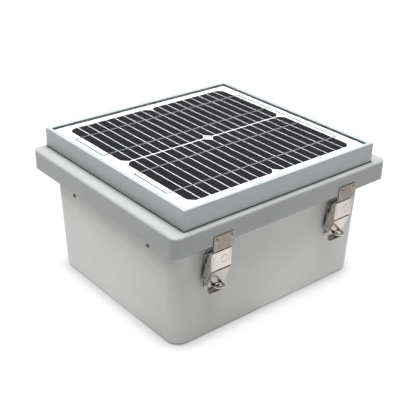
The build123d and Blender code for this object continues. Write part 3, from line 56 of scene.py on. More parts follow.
# ------------------------------------------------------------------ node helpers
class Shader:
    """A short way to write a node material: every call adds a node and returns the socket it feeds."""

    def __init__(self, name):
        self.material = bpy.data.materials.new(name)
        self.material.use_nodes = True
        self.tree = self.material.node_tree
        self.tree.nodes.clear()
        self.output = self.tree.nodes.new("ShaderNodeOutputMaterial")
        self.coords = self.tree.nodes.new("ShaderNodeTexCoord").outputs["Object"]

    def plug(self, socket, value):
        if isinstance(value, bpy.types.NodeSocket):
            self.tree.links.new(value, socket)
        elif value is not None:
            if isinstance(value, tuple) and len(value) == 3 and len(socket.default_value) == 4:
                value = (*value, 1.0)
            socket.default_value = value

    def node(self, kind, out=0, props=None, **inputs):
        """A node and one of its outputs. Inputs are named by socket, or numbered as i0, i1 and so on."""
        made = self.tree.nodes.new("ShaderNode" + kind)
        for key, value in (props or {}).items():
            setattr(made, key, value)
        for key, value in inputs.items():
            numbered = key[0] == "i" and key[1:].isdigit()
            socket = int(key[1:]) if numbered else key.replace("_", " ")
            self.plug(made.inputs[socket], value)
        return made.outputs[out]

    def math(self, operation, a, b=0.0, clamp=False):
        return self.node("Math", props={"operation": operation, "use_clamp": clamp}, i0=a, i1=b)

    def stretch(self, scale):
        return self.node("Mapping", Vector=self.coords, Scale=scale)

    def noise(self, scale, detail=3.0, rough=0.55, vector=None):
        place = vector or self.coords
        return self.node("TexNoise", Vector=place, Scale=scale, Detail=detail, Roughness=rough)

    def axis(self, letter):
        return self.node("SeparateXYZ", out="XYZ".index(letter), Vector=self.coords)

    def ramp(self, factor, low, high, stops=(0.0, 1.0)):
        made = self.tree.nodes.new("ShaderNodeMapRange")
        made.inputs["From Min"].default_value, made.inputs["From Max"].default_value = stops
        made.inputs["To Min"].default_value, made.inputs["To Max"].default_value = low, high
        self.plug(made.inputs["Value"], factor)
        return made.outputs["Result"]

    def blend(self, factor, a, b, mode="MIX"):
        made = self.tree.nodes.new("ShaderNodeMix")
        made.data_type, made.blend_type = "RGBA", mode
        self.plug(made.inputs["Factor"], factor)
        self.plug(made.inputs["A"], a)
        self.plug(made.inputs["B"], b)
        return made.outputs["Result"]

    def bump(self, height, strength=0.3, distance=0.0005, normal=None):
        return self.node("Bump", Height=height, Strength=strength, Distance=distance, Normal=normal)

    def crevice_shade(self, distance, dark, stops=(0.30, 0.85)):
        """Painted shade: a grey level that falls to dark where a surface is closed in by its neighbours."""
        open_sky = self.node("AmbientOcclusion", out=1, props={"samples": 8}, Distance=distance)
        return self.ramp(open_sky, dark, 1.0, stops)

    def darken(self, base, level):
        """The base colour times a grey level."""
        grey = self.node("CombineXYZ", X=level, Y=level, Z=level)
        return self.blend(1.0, base, grey, "MULTIPLY")

    def upward(self, low=0.75, high=0.95):
        """1 where a face looks up and 0 where it stands upright."""
        normal = self.node("NewGeometry", out=1)
        return self.ramp(self.node("SeparateXYZ", out=2, Vector=normal), 0.0, 1.0, (low, high))

    def under_lid(self):
        """The soft shade that the lid's skirt leaves on the left wall, as a grey level."""
        nearness = self.ramp(self.axis("Z"), 0.0, 1.0, SHADE_HEIGHTS)
        normal = self.node("NewGeometry", out=1)
        facing = self.node("SeparateXYZ", Vector=normal)
        depth = self.ramp(facing, SHADE_LEFT, SHADE_ELSEWHERE, (-0.9, -0.4))
        return self.math("SUBTRACT", 1.0, self.math("MULTIPLY", nearness, depth))

    def surface(self, **inputs):
        shader = self.node("BsdfPrincipled", **inputs)
        self.tree.links.new(shader, self.output.inputs["Surface"])
        return self.material


# ------------------------------------------------------------------ materials
def moulded_grp(name, colour, tint, walls=False):
    """Fibreglass moulding: satin grey with soft flow mottling, fine fibre print and painted shade where it is
    closed in. Walls add more painted light: a darker grey on level faces, the painted shade under the lid and a
    painted contact shadow at the foot.
    """
    s = Shader(name)
    flow = s.noise(14.0, 4.0, 0.6)
    speck = s.noise(900.0, 2.0, 0.5)
    fibre = s.noise(260.0, 3.0, 0.65, s.stretch((1.0, 0.35, 1.0)))
    base = s.blend(s.ramp(flow, 0.0, 1.0, (0.35, 0.68)), colour, tint)
    base = s.blend(s.ramp(speck, 0.0, 0.35, (0.60, 0.75)), base, tuple(0.82 * c for c in colour))
    # Painted shade: the moulding darkens where its neighbours close it in.
    base = s.darken(base, s.crevice_shade(0.007, 0.45, (0.40, 0.90)))
    if walls:
        # Painted light: level faces take a darker grey, for the overhead light that falls on them.
        base = s.blend(s.upward(), base, LEVEL_GRP)
        base = s.darken(base, s.under_lid())
        # Painted contact shadow: a dark line along the foot of the walls.
        base = s.darken(base, s.ramp(s.axis("Z"), 0.25, 1.0, FOOT_CONTACT_SHADOW))
    rough = s.math("ADD", s.ramp(flow, 0.36, 0.50), s.ramp(fibre, -0.03, 0.04))
    relief = s.math("ADD", s.math("MULTIPLY", fibre, 0.5), s.math("MULTIPLY", speck, 0.25))
    normal = s.bump(relief, 0.10, 0.0004)
    return s.surface(Base_Color=base, Roughness=rough, Normal=normal, Specular_IOR_Level=0.30)


def brushed_metal(name, colour, along="X", rough=0.30, grain=0.5, warm=None, metallic=1.0, hollow_shade=1.0):
    """Sheet metal with fine brushing along one axis, faint smudges, and painted shade that darkens it where it is
    closed in.
    """
    s = Shader(name)
    fine = {"X": (6.0, 900.0, 900.0), "Y": (900.0, 6.0, 900.0), "Z": (900.0, 900.0, 6.0)}[along]
    brush = s.noise(1.0, 4.0, 0.7, s.stretch(fine))
    smudge = s.noise(45.0, 3.0, 0.6)
    base = s.blend(s.ramp(brush, 0.0, grain, (0.35, 0.70)), colour, tuple(0.80 * c for c in colour))
    base = s.blend(s.ramp(smudge, 0.0, 0.35, (0.45, 0.75)), base, warm or tuple(0.88 * c for c in colour))
    # Painted shade: the metal darkens where it is closed in, down to the given level.
    base = s.darken(base, s.crevice_shade(0.006, hollow_shade, (0.30, 0.80)))
    roughness = s.math("ADD", s.ramp(brush, rough - 0.05, rough + 0.09), s.ramp(smudge, -0.03, 0.06))
    normal = s.bump(brush, 0.10, 0.0001)
    return s.surface(Base_Color=base, Metallic=metallic, Roughness=roughness, Normal=normal)


def anodised_frame(name, along):
    """Satin extruded aluminium: fine draw lines along the rail, and a painted highlight: its upward faces, the
    lip, are painted lighter where the overhead light falls.
    """
    s = Shader(name)
    fine = {"X": (5.0, 1100.0, 1100.0), "Y": (1100.0, 5.0, 1100.0)}[along]
    draw = s.noise(1.0, 4.0, 0.7, s.stretch(fine))
    cloud = s.noise(22.0, 3.0, 0.5)
    side = s.blend(s.ramp(draw, 0.0, 0.5, (0.35, 0.70)), (0.390, 0.405, 0.412), (0.335, 0.350, 0.358))
    side = s.blend(s.ramp(cloud, 0.0, 0.3, (0.45, 0.75)), side, (0.345, 0.362, 0.372))
    # Painted highlight: upward faces take a lighter bluish grey.
    base = s.blend(s.upward(), side, (0.50, 0.55, 0.58))
    rough = s.math("ADD", s.ramp(draw, 0.38, 0.50), s.ramp(cloud, -0.02, 0.04))
    return s.surface(Base_Color=base, Metallic=0.35, Roughness=rough, Normal=s.bump(draw, 0.08, 0.0001))


def coined_steel(name):
    """Dull, tumbled stainless with dark residue in its low spots and painted shade where it is closed in, for the
    stamped keepers.
    """
    s = Shader(name)
    pits = s.noise(520.0, 4.0, 0.7)
    stain = s.noise(170.0, 3.0, 0.6)
    base = s.blend(s.ramp(pits, 0.0, 1.0, (0.36, 0.62)), (0.205, 0.180, 0.160), (0.46, 0.41, 0.37))
    base = s.blend(s.ramp(stain, 0.0, 0.55, (0.40, 0.65)), base, (0.26, 0.23, 0.19))
    # Painted shade where the keeper is closed in.
    base = s.darken(base, s.crevice_shade(0.004, 0.35))
    return s.surface(
        Base_Color=base,
        Metallic=0.9,
        Roughness=s.ramp(stain, 0.30, 0.48),
        Normal=s.bump(pits, 0.35, 0.0004),
    )


def plain_plastic(name, colour, rough=0.42, grain=1200.0):
    """Moulded plastic with a fine spark-eroded grain."""
    s = Shader(name)
    texture = s.noise(grain, 2.0, 0.6)
    cloud = s.noise(60.0, 3.0, 0.5)
    lighter = tuple(min(1.0, 1.25 * c + 0.004) for c in colour)
    base = s.blend(s.ramp(cloud, 0.0, 1.0, (0.3, 0.7)), colour, lighter)
    return s.surface(
        Base_Color=base,
        Roughness=s.ramp(cloud, rough - 0.05, rough + 0.07),
        Normal=s.bump(texture, 0.16, 0.0002),
    )


def soft_rubber(name, colour):
    """Matt black rubber or foam with fine open pores."""
    s = Shader(name)
    pores = s.noise(1600.0, 3.0, 0.7)
    base = s.blend(s.ramp(pores, 0.0, 1.0, (0.35, 0.7)), colour, tuple(1.9 * c for c in colour))
    return s.surface(Base_Color=base, Roughness=0.85, Normal=s.bump(pores, 0.5, 0.0003))


def clear_glass(name):
    """Tempered glass that lets the cells show, with a soft sky reflection and no caustic noise."""
    s = Shader(name)
    fresnel = s.node("Fresnel", IOR=1.45)
    outer_face = s.math("SUBTRACT", 1.0, s.node("NewGeometry", out=6))
    ripple = s.bump(s.noise(9.0, 2.0, 0.5), 0.02, 0.001)
    glossy = s.node("BsdfGlossy", Color=(1.0, 1.0, 1.0), Roughness=0.04, Normal=ripple)
    clear = s.node("BsdfTransparent", Color=(0.97, 0.98, 0.98))
    mixed = s.node("MixShader", i0=s.math("MULTIPLY", fresnel, outer_face), i1=clear, i2=glossy)
    s.tree.links.new(mixed, s.output.inputs["Surface"])
    return s.material


def silicon_cells(name):
    """Dark monocrystalline silicon with silver finger lines that run across the busbars."""
    s = Shader(name)
    cloud = s.noise(30.0, 3.0, 0.5)
    base = s.blend(s.ramp(cloud, 0.0, 1.0, (0.3, 0.7)), (0.0055, 0.0055, 0.0085), (0.0095, 0.0085, 0.0125))
    pitch = 0.0018
    phase = s.math("FRACT", s.math("DIVIDE", s.axis("X"), pitch))
    finger = s.math("LESS_THAN", phase, 0.07)
    base = s.blend(s.math("MULTIPLY", finger, 0.30), base, (0.10, 0.10, 0.11))
    return s.surface(Base_Color=base, Roughness=0.30, Specular_IOR_Level=0.3)


def white_sheet(name):
    """White laminate with a very faint weave."""
    s = Shader(name)
    weave = s.noise(700.0, 2.0, 0.5)
    base = s.blend(s.ramp(weave, 0.0, 1.0, (0.3, 0.7)), (0.90, 0.91, 0.91), (0.95, 0.95, 0.94))
    return s.surface(Base_Color=base, Roughness=0.6, Normal=s.bump(weave, 0.05, 0.0002))


MATERIALS = {
    # Painted light: the walls' grey is a lighter copy and the lid's a darker copy of one fibreglass, for how the
    # light falls on them.
    "grey_grp": moulded_grp("grey_grp", (0.60, 0.605, 0.585), (0.64, 0.645, 0.625), walls=True),
    "lid_grp": moulded_grp("lid_grp", (0.31, 0.32, 0.315), (0.335, 0.345, 0.34)),
    "panel_aluminium": anodised_frame("panel_aluminium", "X"),
    "panel_aluminium_y": anodised_frame("panel_aluminium_y", "Y"),
    "solar_glass": clear_glass("solar_glass"),
    "backsheet_white": white_sheet("backsheet_white"),
    "silicon": silicon_cells("silicon"),
    "ribbon_metal": brushed_metal("ribbon_metal", (0.55, 0.55, 0.55), "X", 0.45, 0.3),
    # The stainless takes deep painted shadow where it is closed in, for the dark gaps round the latches.
    "stainless": brushed_metal(
        "stainless", (0.62, 0.58, 0.53), "Z", 0.22, 0.4, (0.56, 0.51, 0.46), hollow_shade=0.10
    ),
    "keeper_steel": coined_steel("keeper_steel"),
    "dulled_steel": brushed_metal("dulled_steel", (0.13, 0.12, 0.10), "Z", 0.45, 0.4),
    "zinc_steel": brushed_metal("zinc_steel", (0.56, 0.56, 0.52), "Z", 0.33, 0.3, (0.52, 0.50, 0.40)),
    "brass": brushed_metal("brass", (0.72, 0.53, 0.22), "Y", 0.28, 0.3, (0.60, 0.42, 0.18)),
    "black_rubber": soft_rubber("black_rubber", (0.018, 0.018, 0.018)),
    "foam_seal": soft_rubber("foam_seal", (0.030, 0.030, 0.030)),
    "black_plastic": plain_plastic("black_plastic", (0.022, 0.022, 0.024)),
    "red_plastic": plain_plastic("red_plastic", (0.52, 0.025, 0.020), 0.35),
    "green_lens": plain_plastic("green_lens", (0.05, 0.42, 0.10), 0.12),
    "board_green": plain_plastic("board_green", (0.02, 0.12, 0.05), 0.35, 500.0),
    "capacitor_grey": plain_plastic("capacitor_grey", (0.14, 0.16, 0.19), 0.30),
    "core_steel": brushed_metal("core_steel", (0.16, 0.16, 0.17), "Y", 0.45, 0.8),
    "coil_tape": plain_plastic("coil_tape", (0.62, 0.42, 0.05), 0.25),
    "lead_red": plain_plastic("lead_red", (0.45, 0.02, 0.015), 0.35),
    "lead_black": plain_plastic("lead_black", (0.02, 0.02, 0.02), 0.38),
    "plate_aluminium": brushed_metal("plate_aluminium", (0.66, 0.67, 0.68), "X", 0.35, 0.3),
}
# CAD nodes that take another look than their material slot's.
SPECIAL_LOOKS = {
    "lid": "lid_grp",
    "latch_keepers": "keeper_steel",
    "keeper_rivets": "keeper_steel",
    "side_wall_screws": "dulled_steel",
    "panel_frame_left": "panel_aluminium_y",
    "panel_frame_right": "panel_aluminium_y",
}
slot_of = {row["node"]: row["material_slot"] for row in frame["record"]["subparts"]}
for name, piece in nodes.items():
    piece.data.materials.clear()
    piece.data.materials.append(MATERIALS[SPECIAL_LOOKS.get(name, slot_of[name])])


# ------------------------------------------------------------------ mesh helpers
def turned(shape, origin, axis, profile, steps=32, closed=False):
    """Adds a turned solid from (radius, height) pairs along the axis; closed makes them a ring."""
    side = axis.orthogonal().normalized()
    other = axis.cross(side)
    rings = []
    for radius, height in profile:
        centre = origin + axis * height
        turns = [2 * pi * index / steps for index in range(steps)]
        rings.append([shape.verts.new(centre + (side * cos(t) + other * sin(t)) * radius) for t in turns])
    pairs = list(zip(rings, rings[1:]))
    if closed:
        pairs.append((rings[-1], rings[0]))
    for low, high in pairs:
        for index in range(steps):
            after = (index + 1) % steps
            shape.faces.new((low[index], low[after], high[after], high[index]))
    if not closed:
        shape.faces.new(rings[0][::-1])
        shape.faces.new(rings[-1])


def block(shape, centre, size):
    """Adds a block whose edges the piece's bevel rounds."""
    place = Matrix.Translation(centre) @ Matrix.Diagonal((*size, 1.0))
    bmesh.ops.create_cube(shape, size=1.0, matrix=place)


def rod(shape, points, radius, steps=10, closed=False):
    """Adds a round wire through its points."""
    count = len(points)
    rings = []
    for index, point in enumerate(points):
        if closed:
            along = points[(index + 1) % count] - points[index - 1]
        else:
            along = points[min(index + 1, count - 1)] - points[max(index - 1, 0)]
        along.normalize()
        level = Vector((0, 0, 1)) if abs(along.z) < 0.9 else Vector((1, 0, 0))
        side = along.cross(level).normalized()
        other = along.cross(side)
        turns = [2 * pi * step / steps for step in range(steps)]
        rings.append([shape.verts.new(point + (side * cos(t) + other * sin(t)) * radius) for t in turns])
    pairs = list(zip(rings, rings[1:]))
    if closed:
        pairs.append((rings[-1], rings[0]))
    for low, high in pairs:
        for step in range(steps):
            after = (step + 1) % steps
            shape.faces.new((low[step], low[after], high[after], high[step]))
    if not closed:
        shape.faces.new(rings[0][::-1])
        shape.faces.new(rings[-1])


def thread(shape, origin, axis, start, end, radius, pitch=0.00125, depth=0.0004):
    """Adds the helical ridge of a screw thread that stands on a plain shank."""
    side = axis.orthogonal().normalized()
    other = axis.cross(side)
    per_turn = 24
    count = int((end - start) / pitch * per_turn)
    foot = 0.42 * pitch
    sections = []
    for index in range(count + 1):
        turn = 2 * pi * index / per_turn
        height = start + pitch * index / per_turn
        fade = min(1.0, index / 6, (count - index) / 6)
        out = side * cos(turn) + other * sin(turn)
        low = origin + out * (radius - 0.0001) + axis * (height - foot)
        crest = origin + out * (radius + depth * fade) + axis * height
        high = origin + out * (radius - 0.0001) + axis * (height + foot)
        sections.append([shape.verts.new(corner) for corner in (low, crest, high)])
    for before, after in zip(sections, sections[1:]):
        for a, b in ((0, 1), (1, 2), (2, 0)):
            shape.faces.new((before[a], before[b], after[b], after[a]))
    shape.faces.new(sections[0][::-1])
    shape.faces.new(sections[-1])


def dome(shape, centre, out, radius, height, steps=16):
    """Adds a low raised dot that stands on a face."""
    profile = [(radius, -0.0001), (radius, 0.15 * height)]
    profile += [(radius * cos(t), height * (0.15 + 0.85 * sin(t))) for t in (0.5, 0.95, 1.3)]
    turned(shape, centre, out, profile, steps)


def edge_strip(shape, centre, half, section):
    """Adds a mitred strip round a rectangle; the section is a closed list of (outward, height) pairs."""
    corners = []
    for x_sign, y_sign in ((-1, -1), (1, -1), (1, 1), (-1, 1)):
        corners.append([
            shape.verts.new((
                centre[0] + x_sign * (half[0] + outward),
                centre[1] + y_sign * (half[1] + outward),
                height,
            ))
            for outward, height in section
        ])
    for index, here in enumerate(corners):
        there = corners[(index + 1) % len(corners)]
        for step in range(len(section)):
            after = (step + 1) % len(section)
            shape.faces.new((here[step], there[step], there[after], here[after]))


def add_piece(name, shape, body, look, bevel=0.0, smooth=True, finish=None):
    """Turns the mesh into a piece that rides on a body and takes the finish of a material slot."""
    bmesh.ops.recalc_face_normals(shape, faces=shape.faces)
    mesh = bpy.data.meshes.new(name)
    shape.to_mesh(mesh)
    shape.free()
    for face in mesh.polygons:
        face.use_smooth = smooth
    mesh.materials.append(MATERIALS[finish or look])
    piece = bpy.data.objects.new(name, mesh)
    bpy.context.scene.collection.objects.link(piece)
    if bevel:
        rounded = piece.modifiers.new("rounded_edges", "BEVEL")
        rounded.width = bevel
        rounded.segments = 2
        rounded.limit_method = "ANGLE"
        rounded.harden_normals = True
    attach(piece, body)
    return piece


def middle_of(node):
    """The middle of a CAD node's box at rest."""
    low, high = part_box(node)
    return (low + high) / 2


def soften(names, width, angle=35.0, segments=2):
    """Rounds the hard edges of CAD nodes with modifiers only; their own vertices stay as they are."""
    for name in names:
        weld = nodes[name].modifiers.new("weld", "WELD")
        weld.merge_threshold = 0.00001
        rounded = nodes[name].modifiers.new("rounded_edges", "BEVEL")
        rounded.width = width
        rounded.segments = segments
        rounded.limit_method = "ANGLE"
        rounded.angle_limit = radians(angle)
        rounded.use_clamp_overlap = True
        rounded.harden_normals = True


# ------------------------------------------------------------------ latches
HANDS = ("left", "right")
FRONT = Vector((0, -1, 0))


def add_keeper_relief():
    """A generic coined pattern on each keeper: a bead round the field and staggered dots inside it."""
    low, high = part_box("latch_keepers")
    height = (low.z + high.z) / 2 - 0.0016
    for hand in HANDS:
        centre_x = middle_of(f"{hand}_latch_strap").x
        shape = bmesh.new()
        for row in range(4):
            count = 6 - row % 2
            for column in range(count):
                x = centre_x + (column - (count - 1) / 2) * 0.0024
                z = height + (row - 1.5) * 0.0020
                dome(shape, Vector((x, low.y, z)), FRONT, 0.00075, 0.00030)
        corner_x, corner_z = 0.0086, 0.0052
        loop = []
        for index in range(40):
            turn = 2 * pi * index / 40
            loop.append(Vector((
                centre_x + corner_x * copysign(abs(cos(turn)) ** 0.35, cos(turn)),
                low.y - 0.00002,
                height + corner_z * copysign(abs(sin(turn)) ** 0.35, sin(turn)),
            )))
        rod(shape, loop, 0.00028, steps=8, closed=True)
        add_piece(f"{hand}_keeper_relief", shape, "lid_assembly", "stainless", finish="keeper_steel")


def add_strap_relief():
    """A pressed ring and two stiffening beads on the face of each strap."""
    for hand in HANDS:
        low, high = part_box(f"{hand}_latch_strap")
        centre_x = (low.x + high.x) / 2
        ring_z = high.z - 0.0148
        shape = bmesh.new()
        profile = [
            (0.0040, -0.0001), (0.0040, 0.0001), (0.0043, 0.00028),
            (0.0047, 0.00028), (0.0050, 0.0001), (0.0050, -0.0001),
        ]
        turned(shape, Vector((centre_x + 0.004, low.y, ring_z)), FRONT, profile, 40, closed=True)
        for side in (-1, 1):
            x = centre_x + side * 0.0120
            points = [Vector((x, low.y, ring_z - 0.0065 + 0.013 * step / 12)) for step in range(13)]
            rod(shape, points, 0.00035, steps=8)
        add_piece(f"{hand}_strap_relief", shape, f"{hand}_strap", "stainless")


# ------------------------------------------------------------------ terminals
KNOB_END = 0.029  # how far along its axis a knob's outer face stands from the wall
JOINTS = {joint["name"]: joint for joint in frame["joints"]}


def terminal_axis(use):
    """Where a terminal's stud leaves the wall, and the way it points."""
    joint = JOINTS[f"{use}_knob_turn"]
    return Vector(joint["pos_m"]), Vector(joint["axis"]).normalized()


def add_terminal_details():
    for use in ("fence", "ground"):
        origin, axis = terminal_axis(use)
        shape = bmesh.new()
        thread(shape, origin, axis, KNOB_END + 0.0018, 0.0396, 0.0035)
        thread(shape, origin, axis, -0.0196, -0.0115, 0.0040)
        add_piece(f"{use}_stud_thread", shape, "enclosure", "brass", smooth=False)

        shape = bmesh.new()
        insert = [
            (0.00415, KNOB_END - 0.0012), (0.0066, KNOB_END - 0.0012), (0.0066, KNOB_END + 0.0005),
            (0.0062, KNOB_END + 0.0009), (0.0046, KNOB_END + 0.0009), (0.00415, KNOB_END + 0.0005),
        ]
        turned(shape, origin, axis, insert, 40, closed=True)
        add_piece(f"{use}_knob_insert", shape, f"{use}_knob", "brass")

        shape = bmesh.new()
        washer = [
            (0.0042, 0.0101), (0.0098, 0.0101), (0.0102, 0.0104),
            (0.0102, 0.0109), (0.0098, 0.0112), (0.0042, 0.0112),
        ]
        turned(shape, origin, axis, washer, 40, closed=True)
        add_piece(f"{use}_clamp_washer", shape, "enclosure", "zinc_steel")


# ------------------------------------------------------------------ inside the body
UP = Vector((0, 0, 1))
LEG_PITCH = 0.00254
BATTERY_POST = 0.0063


def add_battery_details():
    """Cover plate, six vent plugs and the coloured terminal seats on top of the battery."""
    low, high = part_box("battery")
    top = high.z - BATTERY_POST
    centre = (low + high) / 2
    size = high - low
    shape = bmesh.new()
    cover = Vector((centre.x - 0.012, centre.y, top + 0.0003))
    block(shape, cover, (size.x - 0.052, size.y - 0.016, 0.0016))
    add_piece("battery_cover", shape, "enclosure", "black_plastic", bevel=0.0006)
    plug = [(0.0055, -0.0002), (0.0055, 0.0007), (0.0050, 0.0011), (0.0018, 0.0011), (0.0015, 0.0006)]
    shape = bmesh.new()
    for column in range(3):
        for side in (-1, 1):
            spot = Vector((low.x + 0.030 + column * 0.030, centre.y + side * 0.012, top + 0.0011))
            turned(shape, spot, UP, plug)
    add_piece("battery_vent_plugs", shape, "enclosure", "black_plastic")
    for use, sign, look in (("negative", -1, "lead_black"), ("positive", 1, "lead_red")):
        shape = bmesh.new()
        spot = Vector((centre.x + 0.068, centre.y + sign * 0.024, top))
        seat = [
            (0.0030, -0.0002), (0.0062, -0.0002), (0.0062, 0.0010),
            (0.0054, 0.0016), (0.0036, 0.0016), (0.0030, 0.0010),
        ]
        turned(shape, spot, UP, seat, closed=True)
        add_piece(f"battery_{use}_seat", shape, "enclosure", look)


def add_board_details():
    """Chips with legs and wire-ended resistors between the big parts on the board."""
    low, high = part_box("circuit_board")
    top = low.z + 0.0016
    shape = bmesh.new()
    legs = bmesh.new()
    for x, y, length in (
        (0.080, 0.078, 0.019), (0.080, 0.064, 0.014), (0.128, 0.052, 0.012), (0.060, 0.052, 0.010)
    ):
        spot = Vector((low.x + x, low.y + y, top + 0.0024))
        block(shape, spot, (length, 0.0064, 0.0034))
        for leg in range(int(length / LEG_PITCH)):
            for side in (-1, 1):
                foot = spot + Vector(((leg + 0.5) * LEG_PITCH - length / 2, side * 0.0038, -0.0012))
                block(legs, foot, (0.0006, 0.0012, 0.0026))
    add_piece("board_chips", shape, "enclosure", "black_plastic", bevel=0.0003)
    add_piece("board_chip_legs", legs, "enclosure", "ribbon_metal", bevel=0.0001)
    shape = bmesh.new()
    ends = bmesh.new()
    for index in range(7):
        spot = Vector((low.x + 0.102 + 0.0056 * index, low.y + 0.020, top + 0.0016))
        along = Vector((0, 1, 0))
        body = [
            (0.0007, -0.0036), (0.0013, -0.0030), (0.0011, -0.0020),
            (0.0011, 0.0020), (0.0013, 0.0030), (0.0007, 0.0036),
        ]
        turned(shape, spot, along, body, 16)
        bend = [spot + along * reach + UP * rise for reach, rise in (
            (-0.0056, -0.0016), (-0.0056, -0.0004), (-0.0050, 0.0),
            (0.0050, 0.0), (0.0056, -0.0004), (0.0056, -0.0016),
        )]
        rod(ends, bend, 0.00028, 8)
    add_piece("board_resistors", shape, "enclosure", "coil_tape")
    add_piece("board_resistor_wires", ends, "enclosure", "ribbon_metal")


def add_capacitor_details():
    """Crimp groove ring and two screw posts on each storage capacitor."""
    low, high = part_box("storage_capacitors")
    radius = (high.y - low.y) / 2
    middle = (low + high) / 2
    screw_post = [(0.0034, -0.0002), (0.0034, 0.0022), (0.0030, 0.0027), (0.0012, 0.0027), (0.0010, 0.0018)]
    rings = bmesh.new()
    posts = bmesh.new()
    for column in (-1, 0, 1):
        spot = Vector((middle.x + column * ((high.x - low.x) / 2 - radius), middle.y, high.z))
        rim = [
            (radius - 0.0032, -0.0002), (radius - 0.0016, -0.0002), (radius - 0.0016, 0.0006),
            (radius - 0.0020, 0.0010), (radius - 0.0028, 0.0010), (radius - 0.0032, 0.0006),
        ]
        turned(rings, spot, UP, rim, 48, closed=True)
        for side in (-1, 1):
            post = spot + Vector((0, side * 0.0065, 0))
            turned(posts, post, UP, screw_post, 24)
    add_piece("capacitor_rims", rings, "enclosure", "black_rubber")
    add_piece("capacitor_posts", posts, "enclosure", "zinc_steel")


def add_coil_details():
    """Turns of enamelled wire that show round the coil above and below its tape."""
    low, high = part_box("transformer_coil")
    middle = (low + high) / 2
    half = (high - low) / 2
    shape = bmesh.new()
    corner = 0.006
    for level in (-0.0145, -0.0132, -0.0119, 0.0119, 0.0132, 0.0145):
        loop = []
        for x_sign, y_sign, start in ((1, 1, 0), (-1, 1, 1), (-1, -1, 2), (1, -1, 3)):
            for step in range(6):
                turn = (start + step / 5) * pi / 2
                loop.append(Vector((
                    middle.x + x_sign * (half.x - corner) + corner * cos(turn) * 1.06,
                    middle.y + y_sign * (half.y - corner) + corner * sin(turn) * 1.06,
                    middle.z + level,
                )))
        rod(shape, loop, 0.0006, 8, closed=True)
    add_piece("coil_wire_turns", shape, "enclosure", "brass")


def add_controller_details():
    """Cooling fins and a terminal row on the charge controller."""
    low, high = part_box("charge_controller")
    middle = (low + high) / 2
    shape = bmesh.new()
    for fin in range(9):
        spot = Vector((middle.x, middle.y - 0.004 + (fin - 4) * 0.0056, high.z + 0.0022))
        block(shape, spot, (0.050, 0.0016, 0.0052))
    add_piece("controller_fins", shape, "enclosure", "plate_aluminium", bevel=0.0004)
    head = [(0.0024, -0.0002), (0.0024, 0.0005), (0.0019, 0.0010), (0.0006, 0.0010), (0.0005, 0.0006)]
    shape = bmesh.new()
    screws = bmesh.new()
    for way in range(6):
        spot = Vector((middle.x + (way - 2.5) * 0.0082, high.y - 0.0085, high.z + 0.0018))
        block(shape, spot, (0.0072, 0.0090, 0.0044))
        turned(screws, spot + UP * 0.0021, UP, head, 20)
    add_piece("controller_terminals", shape, "enclosure", "board_green", bevel=0.0005)
    add_piece("controller_terminal_screws", screws, "enclosure", "zinc_steel")


# ------------------------------------------------------------------ panel
def add_panel_details():
    """Black seal bead that shows under the frame, and the sealant line between the frame and the glass."""
    low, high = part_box("panel_frame_front")
    back_low, back_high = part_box("panel_frame_back")
    centre = ((low.x + high.x) / 2, (low.y + back_high.y) / 2)
    half = ((high.x - low.x) / 2, (back_high.y - low.y) / 2)
    lid_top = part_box("lid")[1].z
    shape = bmesh.new()
    section = [
        (-0.0020, lid_top + 0.0001), (0.0003, lid_top + 0.0001), (0.0005, lid_top + 0.0007),
        (0.0003, lid_top + 0.0013), (-0.0001, lid_top + 0.0014), (-0.0001, lid_top + 0.0009),
        (-0.0020, lid_top + 0.0009),
    ]
    edge_strip(shape, centre, half, section)
    add_piece("panel_seal_bead", shape, "lid_assembly", "foam_seal", smooth=False)
    glass_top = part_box("panel_glass")[1].z
    lip = 0.0060
    shape = bmesh.new()
    section = [
        (-lip - 0.0007, glass_top - 0.0001), (-lip + 0.0003, glass_top - 0.0001),
        (-lip + 0.0003, glass_top + 0.00045), (-lip - 0.0002, glass_top + 0.0004),
    ]
    edge_strip(shape, centre, half, section)
    add_piece("panel_glass_sealant", shape, "lid_assembly", "foam_seal", smooth=False)


add_keeper_relief()
add_strap_relief()
add_terminal_details()
add_battery_details()
add_board_details()
add_capacitor_details()
add_coil_details()
add_controller_details()
add_panel_details()

THIN_SHEET = ["latch_keepers", "latch_bases"]
THIN_SHEET += [f"{hand}_latch_{kind}" for hand in HANDS for kind in ("lever", "strap")]
soften(THIN_SHEET, 0.00022)
soften(["hinge_body_leaves", "hinge_lid_leaves", "hinge_pins"], 0.0003)
soften([f"panel_frame_{side}" for side in ("front", "back", "left", "right")], 0.0002)
soften(["switch_housing", "switch_rocker", "indicator_bezel", "terminal_nuts", "battery_bracket"], 0.0003)
soften(["junction_box", "junction_box_lid", "transformer_core", "transformer_coil"], 0.0004)


# ------------------------------------------------------------------ stage, light and camera
# Angles, distances and the lens of the camera, then the brightness of the floor as the camera sees it and
# as it lights the object, and of the sky: level round the sides and bright overhead, less so in mirrors.
CAMERA_AZIMUTH = radians(-40.02)
CAMERA_ELEVATION = radians(27.82)
CAMERA_ROLL = radians(1.24)
CAMERA_DISTANCE = 0.9526
CAMERA_TARGET = Vector((-0.0888, -0.1068, 0.1587))
SENSOR_WIDTH = 36.0
FOCAL_LENGTH = 71.44
VERTICAL_SHIFT = 0.0036
FLOOR_SEEN = 0.74
SKY_LEVEL = 0.10
SKY_ZENITH = 14.0
SKY_ZENITH_MIRRORED = 3.5
SKY_FADE = (0.86, 0.97)
FLOOR_BOUNCE = 0.80
FLOOR_BOUNCE_AT_CAMERA = 0.42
FLOOR_BOUNCE_FAR_RIGHT = 0.72


def add_area(name, location, size, power, target=(0.0, 0.0, 0.1)):
    """Hangs a square white softbox that faces its target."""
    data = bpy.data.lights.new(name, "AREA")
    data.shape, data.size, data.energy = "SQUARE", size, power
    lamp = bpy.data.objects.new(name, data)
    lamp.location = location
    lamp.rotation_euler = (Vector(target) - Vector(location)).to_track_quat("-Z", "Y").to_euler()
    bpy.context.scene.collection.objects.link(lamp)


